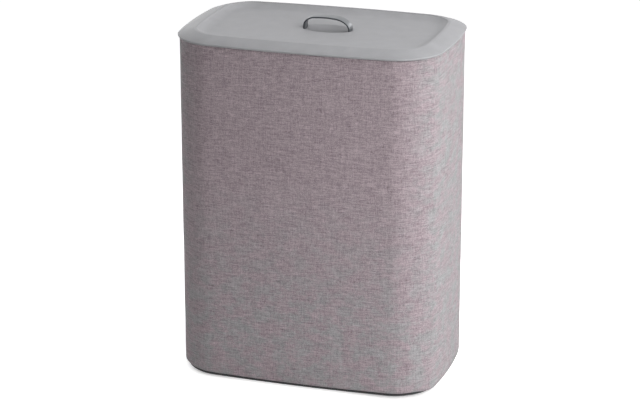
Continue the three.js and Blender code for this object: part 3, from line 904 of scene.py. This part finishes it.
def makeLid():
    crest = lid["crestHeight"]
    edgeTop = crest - lid["crestRise"]
    bottom = edgeTop - lid["fascia"]
    floorTop = crest - lid["recessDepth"]
    floorUnder = floorTop - lid["wall"]
    crestInset = lid["crestInset"]
    wall = lid["wall"]
    lipInset = lid["lipInset"]
    lipInner = lipInset + lid["lipWall"]
    lipBottom = bottom - lid["lipDepth"]
    seatOuter = lipInset - lid["seatWidth"]

    def under(inset):
        return edgeTop + lid["crestRise"] * inset / crestInset - wall

    recess = [(inset, height, 0) for inset, height in recessLine(lid["crestRound"], 0)][1:]
    recessUnder = [(inset, height - wall, 0) for inset, height in recessLine(0, -0.4)][1:]
    outside = rounded([
        (crestInset + lid["crestRound"] * 2, crest - 0.1, 0),
        (crestInset, crest, lid["crestRound"]),
        (crestInset * 0.5, edgeTop + lid["crestRise"] * 0.5 + 0.35, 30),
        (0, edgeTop, 1.2),
        (0, bottom, lid["bottomEdge"]),
        (wall, bottom, 0.4),
        (wall, under(wall), 0),
        (seatOuter, under(seatOuter), 0),
        (seatOuter, lid["seatHeight"], 0.3),
        (lipInset, lid["seatHeight"], 0.4),
        (lipInset, lipBottom, 0.8),
        (lipInner, lipBottom, 0.8),
        (lipInner, under(lipInner), 0),
        (crestInset, crest - wall - 0.4, 0),
    ])
    recessTop = [Vector(point[:2]) for point in reversed(recess[1:])]
    profile = recessTop + outside + [Vector(point[:2]) for point in recessUnder[1:]]
    topDish = dishRings(lid["dishLength"], lid["dishWidth"], floorTop, True)
    lowDish = dishRings(
        lid["dishLength"] + 2 * wall, lid["dishWidth"] + 2 * wall, floorUnder, False)
    rings = topDish[::-1] + [ringAt(lidTrack, *point) for point in profile] + lowDish
    mesh = bmesh.new()
    first, last = loft(mesh, rings, lidTrack["around"])
    closeToPoint(mesh, first)
    closeToPoint(mesh, last)
    piece = newObject("lidShell", mesh)

    x, y = lid["handlePlace"]
    tabs = [(x - tabMiddle, y), (x + tabMiddle, y)]
    bossBottom = floorUnder - lid["bossDepth"]
    join(piece, rods(tabs, lid["bossRadius"], bossBottom, floorUnder + 0.8))
    cut(piece, rods(tabs, screwHole, bossBottom - 1, floorUnder - 0.6))
    leg = (handle["span"] - handle["thickness"]) / 2
    legs = [(x + side * leg, y, floorTop) for side in (-1, 1)]
    cut(piece, blocks(legs, (*lid["slot"], 40), 0.7, uprightOnly=True))
    dress(piece, "lid", lidFinish(floorTop), ["lid_shell"])


# Strap handle over the dish

handle = {
    "span": 83.0,
    "width": 20.0,
    "thickness": 2.5,
    "rise": 22.0,
    "leftShoulder": (21.0, 15.0),
    "rightShoulder": (30.0, 19.0),  # the right end slopes down more gently
    "crown": 0.8,
    "edge": 0.7,
    "tabLength": 14.0,
    "tabCorner": 4.0,
    "bend": 2.8,
}
tabMiddle = (handle["span"] + handle["tabLength"]) / 2


def handleHalf(width, height):
    # the strap's middle line from the middle of its top to the end of one tab
    leg = (handle["span"] - handle["thickness"]) / 2
    floorTop = lid["crestHeight"] - lid["recessDepth"]
    top = floorTop + handle["rise"] - handle["thickness"] / 2
    centre = Vector((leg - width, top - handle["crown"] - height))
    tabHeight = heightsOf("lid_handle")[0] + handle["thickness"] / 2
    points = []
    for step in range(8):
        share = step / 8
        points.append(Vector((centre.x * share, top - handle["crown"] * share ** 2)))
    for step in range(17):
        angle = math.pi / 2 * (1 - step / 16)
        points.append(centre + Vector((width * math.cos(angle), height * math.sin(angle))))
    end = handle["span"] / 2 + handle["tabLength"]
    tail = rounded([
        (leg, centre.y, 0),
        (leg, tabHeight, handle["bend"]),
        (end, tabHeight, 0),
    ], steps=6)
    return points + withRows(tail[1:], 1.2)


def makeHandle():
    left = handleHalf(*handle["leftShoulder"])
    line = [Vector((-point.x, point.y)) for point in reversed(left[1:])]
    line += handleHalf(*handle["rightShoulder"])
    along = [0.0]
    for before, after in zip(line, line[1:]):
        along.append(along[-1] + (after - before).length)
    halfWidth, halfDepth = handle["width"] / 2, handle["thickness"] / 2
    corner = handle["tabCorner"]
    x, y = lid["handlePlace"]

    def placeAt(index, point, direction, across, depth):
        fromEnd = min(along[index], along[-1] - along[index])
        short = corner - math.sqrt(corner ** 2 - max(0, corner - fromEnd) ** 2)
        narrowing = (halfWidth - short) / halfWidth
        return (x + point.x - direction.y * depth, y + across * narrowing,
                point.y + direction.x * depth)

    section = barSection(handle["width"], -halfDepth, halfDepth, handle["edge"])
    piece = sweep("lidHandle", line, section, placeAt)
    tabHeight = heightsOf("lid_handle")[0]
    tabs = [(x - tabMiddle, y), (x + tabMiddle, y)]
    cut(piece, rods(tabs, screwHole, tabHeight - 2, tabHeight + 5))
    finish = brushedFinish("handleSteel", edges=(y, halfWidth))
    dress(piece, "lid", finish, ["lid_handle"], 50)


makeLid()
print("lid made")
makeHandle()
print("handle made")

# Carcass, plinth, rim ring and centre bar

carcass = {
    "inset": 5.3,
    "wall": 2.8,
    "turnUnder": 3.2,
    "floor": 3.0,
    "fillet": 3.0,
    "flatInset": 60.0,  # a floor is flat from here inwards
    "bossRadius": 5.5,
    "bossHeight": 8.0,
    "footPlace": (178.0, 98.0),
}
footPlaces = {
    f"{row}_{side}": (signX * carcass["footPlace"][0], signY * carcass["footPlace"][1])
    for row, signY in (("front", -1), ("rear", 1))
    for side, signX in (("left", -1), ("right", 1))
}
screwPlaces = list(footPlaces.values())


def makeCarcass():
    bottom, top = heightsOf("outer_shell")
    outer = carcass["inset"]
    inner = outer + carcass["wall"]
    floorTop = bottom + carcass["floor"]
    profile = rounded([
        (carcass["flatInset"], bottom, 0),
        (outer + 0.2, bottom, carcass["turnUnder"] - 0.2),
        (outer, top, 0.5),
        (inner, top, 0.5),
        (inner, floorTop, carcass["fillet"]),
        (carcass["flatInset"], floorTop, 0),
    ], steps=5)
    piece = allRound("carcass", lidTrack, withRows(profile, 90))
    bossTop = floorTop + carcass["bossHeight"]
    join(piece, rods(screwPlaces, carcass["bossRadius"], floorTop - 1, bossTop, 0.7))
    cut(piece, rods(screwPlaces, screwHole, bottom - 1, bossTop - 1))
    finish = plasticFinish("shellPlastic", shade(150, 151, 153), 0.52)
    dress(piece, "hamper", finish, ["outer_shell"])


plinth = {
    "inset": 8.5,
    "wall": 3.5,
    "plate": 3.0,
    "bossRadius": 15.0,
    "pocket": 12.3,
    "pocketTop": 3.5,
}


def makePlinth():
    bottom, top = heightsOf("base_plinth")
    inner = plinth["inset"] + plinth["wall"]
    plate = top - plinth["plate"]
    profile = rounded([
        (carcass["flatInset"], plate, 0),
        (inner, plate, 1.0),
        (inner, bottom, 0.6),
        (plinth["inset"], bottom, 0.8),
        (plinth["inset"], top, 0.5),
        (carcass["flatInset"], top, 0),
    ])
    piece = allRound("plinth", lidTrack, profile)
    join(piece, rods(screwPlaces, plinth["bossRadius"], bottom, plate + 1))
    cut(piece, rods(screwPlaces, plinth["pocket"], bottom - 2, plinth["pocketTop"]))
    cut(piece, rods(screwPlaces, screwHole, bottom - 2, top + 1))
    finish = plasticFinish("darkPlastic", shade(60, 60, 62), 0.6)
    dress(piece, "hamper", finish, ["base_plinth"])


ring = {
    "outerInset": 5.3,
    "webInset": 8.4,
    "ledgeInset": 11.4,
    "openInset": 21.4,
    "flange": 3.3,
    "ledge": 3.0,
    "drop": 21.7,
    "bossRadius": 5.0,
}
bar = {"rib": 10.0, "flange": 24.0, "screwInset": 5.2, "gap": 0.8, "screwSink": 3.8}
barScrew = plan["depth"] / 2 - ring["ledgeInset"] - bar["screwInset"]
barScrewPlaces = [(0, -barScrew), (0, barScrew)]


def makeRing():
    bottom, top = heightsOf("rim_ring")
    ledgeTop = top - ring["drop"]
    ledgeUnder = ledgeTop - ring["ledge"]
    profile = rounded([
        (ring["webInset"], ledgeUnder, 0.6),
        (ring["webInset"], top - ring["flange"], 0),
        (ring["outerInset"], top - ring["flange"], 0.3),
        (ring["outerInset"], top, 0.8),
        (ring["ledgeInset"], top, 0.8),
        (ring["ledgeInset"], ledgeTop, 1.2),
        (ring["openInset"], ledgeTop, 0.7),
        (ring["openInset"], ledgeUnder, 0.7),
    ], closed=True)
    piece = allRound("rimRing", lidTrack, profile, closed=True)
    join(piece, rods(barScrewPlaces, ring["bossRadius"], bottom, ledgeTop - 1))
    cut(piece, rods(barScrewPlaces, screwHole, bottom + 1, ledgeTop + 1))
    finish = plasticFinish("rimPlastic", shade(172, 173, 175), 0.5)
    dress(piece, "hamper", finish, ["rim_ring"])


def makeBar():
    bottom, top = heightsOf("centre_bar")
    ledgeTop = bottom + ring["ledge"]
    ribHalf, flangeHalf = [
        plan["depth"] / 2 - ring[inset] - bar["gap"] for inset in ("ledgeInset", "openInset")]

    def stretch(width, half, low, high, edge):
        return blocks([(0, 0, (low + high) / 2)], (width, 2 * half, high - low), edge)

    piece = newObject("centreBar", stretch(bar["rib"], ribHalf, ledgeTop + 0.3, top, 0.9))
    join(piece, stretch(bar["flange"], flangeHalf, bottom, ledgeTop, 0.7))
    join(piece, stretch(bar["rib"], flangeHalf, bottom, top, 0.9))
    cut(piece, rods(barScrewPlaces, screwHole, bottom - 1, top + 1))
    cut(piece, rods(barScrewPlaces, bar["screwSink"], top - 2.5, top + 1))
    dress(piece, "hamper", bpy.data.materials["rimPlastic"], ["centre_bar"])


makeCarcass()
makePlinth()
makeRing()
makeBar()
print("carcass, plinth, ring and bar made")

# Feet and screws

foot = {"radius": 12.0, "depth": 3.2, "edge": 1.0, "recess": 3.8, "recessTop": 2.8}


def makeFeet():
    finish = rubberFinish()
    for name, (x, y) in footPlaces.items():
        mesh = bmesh.new()
        outline = rounded([
            (screwHole, foot["recessTop"], 0),
            (foot["recess"], foot["recessTop"], 0.3),
            (foot["recess"], 0, 0.5),
            (foot["radius"] * 0.6, 0, 0.2),
            (foot["radius"] * 0.64, 0.5, 0.2),
            (foot["radius"] * 0.68, 0, 0.2),
            (foot["radius"], 0, foot["edge"]),
            (foot["radius"], foot["depth"], 0.3),
            (screwHole, foot["depth"], 0),
        ]) + [Vector((screwHole, foot["recessTop"]))]
        spin(mesh, outline, 56)
        bmesh.ops.translate(mesh, vec=(x, y, 0), verts=mesh.verts)
        piece = newObject(f"foot_{name}", mesh)
        dress(piece, "hamper", finish, [f"foot_{name}"])


screw = {"shank": 1.7, "head": 3.5, "headHeight": 2.2, "socket": 1.25, "socketDepth": 1.1}
threadPitch = 0.8


def screwObject(name, length, place, pointsUp):
    # pan head with a hexagon socket, its bearing face at the place
    head, shank = screw["head"], screw["shank"]
    outline = [(0, -screw["headHeight"])]
    outline += [
        (head * math.sin(turn) ** 0.8,
         -screw["headHeight"] * (0.25 + 0.75 * math.cos(turn) ** 0.7))
        for turn in (0.35, 0.6, 0.85, 1.1, 1.3, 1.5)
    ]
    outline += [(head, -0.25), (head - 0.2, 0), (shank, 0)]
    threadTop = length - shank - 0.4
    for index in range(int((threadTop - 1) / threadPitch)):
        start = 1 + threadPitch * index
        outline += [(shank - 0.2, start), (shank, start + threadPitch / 2)]
    outline += [(shank, threadTop), (0.3, length), (0, length)]
    mesh = bmesh.new()
    spin(mesh, outline, 32)
    if not pointsUp:
        over = Matrix.Rotation(math.pi, 3, "X")
        bmesh.ops.rotate(mesh, verts=mesh.verts, cent=(0, 0, 0), matrix=over)
    bmesh.ops.translate(mesh, vec=place, verts=mesh.verts)
    piece = newObject(name, mesh)
    socket = bmesh.new()
    face = place[2] + (-1 if pointsUp else 1) * screw["headHeight"]
    middle = Matrix.Translation((place[0], place[1], face))
    addBar(socket, screw["socket"], 2 * screw["socketDepth"], middle, 6)
    cut(piece, socket)
    return piece


def makeScrews():
    finish = brushedFinish("screwSteel", alongX=False)
    jobs = [(f"foot_screw_{name}", x, y, True, "hamper") for name, (x, y) in footPlaces.items()]
    x, y = lid["handlePlace"]
    jobs += [(f"handle_screw_{name}", x + side * tabMiddle, y, True, "lid")
             for name, side in (("left", -1), ("right", 1))]
    jobs += [(f"bar_screw_{name}", 0, side * barScrew, False, "hamper")
             for name, side in (("front", -1), ("rear", 1))]
    for name, x, y, pointsUp, body in jobs:
        low, high = heightsOf(name)
        headHeight = screw["headHeight"]
        height = low + headHeight if pointsUp else high - headHeight
        piece = screwObject(name, high - low - headHeight, (x, y, height), pointsUp)
        dress(piece, body, finish, [name])


makeFeet()
makeScrews()
print("feet and screws made")

# Bins

binShape = {
    "frameInset": 11.9,  # inside the lid's edge
    "barSide": 5.5,
    "cornerRadius": 30.0,
    "points": 176,
}


def binOutline():
    # the right-hand bin's frame, anticlockwise from the middle of its side by the centre bar
    lidPoints = lidOutline()
    inset = binShape["frameInset"]
    rim = [point - out * inset for point, out in zip(lidPoints, outwardAt(lidPoints))]
    radius = binShape["cornerRadius"]
    start = binShape["barSide"] + radius
    half = (len(rim) + 1) // 2
    ordered = rim[half:] + rim[:half]
    outer = [point for point in ordered if point.x > start]
    front = min(outer, key=lambda point: point.x + (1000 if point.y > 0 else 0))
    rear = min(outer, key=lambda point: point.x + (1000 if point.y < 0 else 0))
    frontArc = arcPoints(Vector((start, front.y + radius)), radius, 180, 268)
    rearArc = arcPoints(Vector((start, rear.y - radius)), radius, 92, 180)
    return fillLine([Vector((binShape["barSide"], 0))] + frontArc + outer + rearArc)


binTrack = evenTrack(binOutline(), binShape["points"])


def frontAt(inset, x):
    # how far forward the bin's outline stands at a given x, and which way is out there
    ring = ringAt(binTrack, inset, 0)
    for index, point in enumerate(ring):
        following = ring[(index + 1) % len(ring)]
        if point.y < 0 and following.y < 0 and point.x <= x < following.x:
            share = (x - point.x) / (following.x - point.x)
            out = binTrack["directions"][index].lerp(
                binTrack["directions"][(index + 1) % len(ring)], share).normalized()
            return point.y + (following.y - point.y) * share, out
    raise ValueError(f"no front at {x}")


binFrame = {"flange": 3.0, "wall": 2.8, "collarInset": 10.0, "edge": 1.0}
bag = {
    "topInset": 13.1,
    "lowInset": 10.5,
    "thickness": 1.5,
    "foot": 10.0,
    "flatInset": 52.0,
    "collar": 28.0,
    "swellDrop": 6.0,
    "rowHeight": 16.0,
    "sag": 2.4,
    "folds": 1.5,
    "panels": ["bottom", "front", "rear", "inner", "outer", "corner_front_inner",
               "corner_front_outer", "corner_rear_inner", "corner_rear_outer"],
}
board = {"inset": 17.5, "edge": 0.9}
strap = {
    "width": 25.0,
    "thickness": 2.0,
    "spread": 95.9,
    "drop": 96.0,
    "curve": 48.0,
    "aboveRivet": 8.0,
    "rivetDrop": 14.0,
    "inset": 14.9,
    "lean": 5.0,
    "middle": 97.95,
}
rivet = {
    "shank": 1.7,
    "hole": 2.0,
    "head": 4.5,
    "headHeight": 1.2,
    "start": 0.3,
    "stack": 7.2,
}


def rivetSpots(letter):
    # each rivet's name, and what puts it on the right-hand bin's frame pointing inwards
    height = heightsOf(f"bin_{letter}_frame")[1] - strap["rivetDrop"]
    for turn, row in ((1, "front"), (-1, "rear")):
        for end, name in ((-1, "left"), (1, "right")):
            x = strap["middle"] + end * strap["spread"] / 2
            y, out = frontAt(binFrame["collarInset"], x)
            inward = Vector((-out.x, -out.y * turn, 0)).to_track_quat("Z", "Y")
            place = Matrix.Translation((x, y * turn, height))
            yield f"bin_{letter}_rivet_{row}_{name}", place @ inward.to_matrix().to_4x4()


def makeFrame(letter, side, finish):
    name = f"bin_{letter}_frame"
    bottom, top = heightsOf(name)
    flangeUnder = top - binFrame["flange"]
    collar = binFrame["collarInset"]
    inner = collar + binFrame["wall"]
    edge = binFrame["edge"]
    profile = rounded([
        (collar, flangeUnder, 0.8),
        (0, flangeUnder, edge),
        (0, top, edge),
        (inner, top, 1.3),
        (inner, bottom, 0.9),
        (collar, bottom, 0.9),
    ], closed=True)
    piece = allRound(name, binTrack, profile, True, side)
    holes = bmesh.new()
    for matrix in dict(rivetSpots(letter)).values():
        addBar(holes, rivet["hole"], 14, matrix, 24)
    cut(piece, onSide(holes, side))
    dress(piece, f"bin_{letter}", finish, [name])


def makeBag(letter, side, finish):
    nodes = [f"bin_{letter}_bag_{panel}" for panel in bag["panels"]]
    bottom = heightsOf(nodes[0])[0]
    top = heightsOf(nodes[1])[1]
    frameTop = heightsOf(f"bin_{letter}_frame")[1]
    collarBottom = frameTop - bag["collar"]
    swell = collarBottom - bag["swellDrop"]
    thickness = bag["thickness"]
    wall = bag["lowInset"] + thickness
    profile = withRows(rounded([
        (bag["flatInset"], bottom, 0),
        (bag["lowInset"], bottom, bag["foot"]),
        (bag["lowInset"], swell, 5),
        (bag["topInset"], collarBottom, 5),
        (bag["topInset"], top, 0.5),
        (bag["topInset"] + thickness, top, 0.5),
        (bag["topInset"] + thickness, collarBottom, 5),
        (wall, swell, 5),
        (wall, bottom + thickness, bag["foot"] - thickness),
        (bag["flatInset"], bottom + thickness, 0),
    ], steps=5), bag["rowHeight"])
    rings = []
    for inset, height in profile:
        ring = ringAt(binTrack, inset, height)
        share = min(1, max(0, (height - bottom - bag["foot"]) / (swell - bottom - bag["foot"])))
        slack = math.sin(math.pi * share) ** 2
        if slack > 0 and inset < wall + 3:
            for index, point in enumerate(ring):
                around = binTrack["around"][index]
                wide = noise.noise(Vector((around * 9, height * 0.006, side * 5)))
                narrow = noise.noise(Vector((around * 30, height * 0.004, side * 9)))
                inwards = max(0, bag["sag"] * (1 + wide) + bag["folds"] * narrow) * slack
                out = binTrack["directions"][index]
                point.x -= out.x * inwards
                point.y -= out.y * inwards
        rings.append(ring)
    mesh = bmesh.new()
    first, last = loft(mesh, rings, binTrack["around"])
    closeFlat(mesh, first, last)
    layer = mesh.loops.layers.uv.verify()
    for face in mesh.faces:
        face.normal_update()
        if abs(face.normal.z) > 0.75:
            for corner in face.loops:
                corner[layer].uv = corner.vert.co.xy * millimetre
    piece = newObject(f"bin_{letter}_bag", onSide(mesh, side))
    dress(piece, f"bin_{letter}", finish, nodes, 60)


def makeBoard(letter, side, finish):
    name = f"bin_{letter}_base_board"
    bottom, top = heightsOf(name)
    edge = board["edge"]
    profile = rounded([
        (bag["flatInset"], bottom, 0),
        (board["inset"], bottom, edge),
        (board["inset"], top, edge),
        (bag["flatInset"], top, 0),
    ])
    piece = allRound(name, binTrack, profile, side=side)
    dress(piece, f"bin_{letter}", finish, [name])


def strapLine():
    # the loop's middle line against the bag: across from the loop's middle, up from the rivets
    half = strap["spread"] / 2
    bend = strap["curve"] - strap["drop"]
    deep = strap["curve"] - strap["width"] / 2
    left = [Vector((-half, height)) for height in (
        strap["aboveRivet"], 4, 0, -6, -14, -24, -36)]
    arc = [
        Vector((-half * math.cos(turn), bend - deep * math.sin(turn)))
        for turn in [math.pi * step / 32 for step in range(33)]
    ]
    right = [Vector((-point.x, point.y)) for point in reversed(left)]
    return left + arc + right


def makeStrap(letter, side, turn, finish):
    name = f"bin_{letter}_strap_{'front' if turn == 1 else 'rear'}"
    rivetHeight = heightsOf(f"bin_{letter}_frame")[1] - strap["rivetDrop"]

    def placeAt(index, point, direction, across, depth):
        x = strap["middle"] + point.x + direction.y * across
        z = point.y - direction.x * across
        lean = strap["lean"] * min(1, max(0, -z) / strap["drop"]) ** 2
        return x, (frontAt(strap["inset"], x)[0] + depth + lean) * turn, rivetHeight + z

    section = barSection(strap["width"], 0, strap["thickness"], 0.8, 3)
    piece = sweep(name, strapLine(), section, placeAt, side)
    around = (strap["width"] + strap["thickness"]) * 2 * millimetre
    for corner in piece.data.uv_layers[0].data:
        # the section's share becomes a distance across the webbing
        corner.uv = (corner.uv[1], corner.uv[0] * around)
    dress(piece, f"bin_{letter}", finish, [name], 50)


def makeRivets(letter, side, finish):
    shank, head, stack = rivet["shank"], rivet["head"], rivet["stack"]
    start = rivet["start"]
    rimTop = stack + 0.2
    outline = [(0, start), (shank - 0.2, start), (shank, start + 0.2), (shank, stack),
               (head - 0.15, stack), (head, rimTop)]
    outline += [
        (head * math.cos(lift), rimTop + (rivet["headHeight"] - 0.2) * math.sin(lift))
        for lift in (0.25, 0.5, 0.8, 1.1, 1.35)
    ]
    outline += [(0, stack + rivet["headHeight"])]
    for label, matrix in rivetSpots(letter):
        mesh = bmesh.new()
        spin(mesh, outline, 32)
        mesh.transform(matrix)
        piece = newObject(label, onSide(mesh, side))
        dress(piece, f"bin_{letter}", finish, [label])


def makeBins():
    frameFinish = plasticFinish("framePlastic", shade(156, 157, 159), 0.5)
    boardCover = boardFinish()
    strapFinish = webbingFinish()
    rivetFinish = brushedFinish("rivetSteel", alongX=False)
    bagFinishes = {
        "a": bagFinish("bagLight", shade(189, 187, 186)),
        "b": bagFinish("bagDark", shade(92, 93, 97)),
    }
    for letter, side in (("a", 1), ("b", -1)):
        makeFrame(letter, side, frameFinish)
        makeBag(letter, side, bagFinishes[letter])
        makeBoard(letter, side, boardCover)
        for turn in (1, -1):
            makeStrap(letter, side, turn, strapFinish)
        makeRivets(letter, side, rivetFinish)
        print("bin", letter, "made")


makeBins()

# Floor, light and background

studio = {
    "floorSize": 60.0,  # metres
    "ambient": 0.1,
    "floorGlow": 0.88,
    "gloom": 0.36,  # a painted contact shadow: how much the glow fades along the front edge
    "paintedShadowEnds": (0.25, 0.45),  # and how much more at the left and the right end
    "paintedShadowReach": (26, 76),
    "paintedShadowUnder": 30,
    "paintedShadowAcross": (-150, 200),  # x between which its reach grows
    "paintedShadowLeft": (-100, -190),
    "paintedShadowRight": (60, 200),
    "paintedShadowFront": (-60, -120),  # y between which it sets in
    "gloomFades": (-232, -185),  # x between which it grows from a quarter of its strength
    "paintedShadowCorner": 95,  # with this radius a plain rounded rectangle follows the bowed outline
    "lampHeight": 0.35,  # metres, about the middle of the hamper, which the lamps face
}
white = (1, 1, 1, 1)


def makeFloor():
    mesh = bmesh.new()
    half = studio["floorSize"] / 2 / millimetre
    bmesh.ops.create_grid(mesh, x_segments=8, y_segments=8, size=half)
    floor = newObject("floor", mesh)
    finish = newFinish("paleFloor", {
        "Base Color": (0.9, 0.9, 0.9, 1), "Roughness": 0.9, "Specular IOR Level": 0.0,
    })
    x, y = finish.split(finish.coordinates("Object"))[:2]
    # distance from the hamper's outline
    radius = studio["paintedShadowCorner"]
    beyondX = finish.higher(abs(x) - (plan["width"] / 2 - radius), 0)
    beyondY = finish.higher(abs(y) - (plan["depth"] / 2 - radius), 0)
    away = finish.math("SQRT", beyondX * beyondX + beyondY * beyondY) - radius
    reach = finish.spread(x, *studio["paintedShadowAcross"], *studio["paintedShadowReach"])
    near = finish.higher(reach - away, 0) / (reach + 10)
    left, right = studio["paintedShadowEnds"]
    strength = finish.spread(x, *studio["paintedShadowLeft"], 0, left)
    strength += finish.spread(x, *studio["paintedShadowRight"], 0, right)
    # the painted contact shadow on the floor in front of the hamper's foot
    gloom = near * near * (strength + studio["gloom"])
    gloom *= finish.spread(y, *studio["paintedShadowFront"])
    gloom *= finish.spread(x, *studio["gloomFades"], 0.25, 1) * (away > -studio["paintedShadowUnder"])
    glow = finish.add("Emission", None, {"Color": white, "Strength": studio["floorGlow"]})
    both = finish.add("AddShader", None, {0: finish.shader, 1: glow})
    # the painted shadow dims the glow where it is seen directly
    share = finish.seenDirectly() * (1 - gloom)
    finish.show(finish.add("MixShader", None, {0: share, 1: finish.shader, 2: both}))
    floor.data.materials.append(finish.holder)


def makeWorld():
    world = bpy.data.worlds.new("studio")
    bpy.context.scene.world = world
    sky = Finish(world, "OutputWorld")
    ambient, background = [
        sky.add("Background", None, {"Color": white, "Strength": strength})
        for strength in (studio["ambient"], 1)
    ]
    sky.show(sky.add("MixShader", None, {0: sky.seenDirectly(), 1: ambient, 2: background}))


# azimuth round the hamper from its front, elevation, distance and side in metres, and watts
lamps = {
    "front": (45, 35, 2.4, 1.4, 14.2),
    "frontRight": (42, -3, 1.2, 0.3, 2.1),
    "overhead": (90, 72, 1.5, 1.1, 6.7),
    "overRight": (85, 30, 2.4, 1.2, 19.4),
    "rearRight": (120, 15, 3.0, 2.0, 13.0),
    "left": (-100, 8, 1.5, 0.6, 3.2),
    "leftRear": (-130, 19.3, 1.2, 0.7, 2.6),
    "rearRim": (160, 16, 1.5, 0.3, 0.9),
}


def addLamp(name, azimuth, elevation, distance, side, power):
    outwards = towards(azimuth, elevation)
    lamp = bpy.data.lights.new(name, "AREA")
    lamp.shape = "SQUARE"
    lamp.size = side
    lamp.energy = power
    holder = addObject(name, lamp)
    holder.location = outwards * distance + Vector((0, 0, studio["lampHeight"]))
    holder.rotation_euler = (-outwards).to_track_quat("-Z", "Y").to_euler()
    holder.visible_camera = False


makeFloor()
makeWorld()
for lampName, lampValues in lamps.items():
    addLamp(lampName, *lampValues)
bpy.context.scene.view_settings.view_transform = "Standard"
print("floor, light and background made")
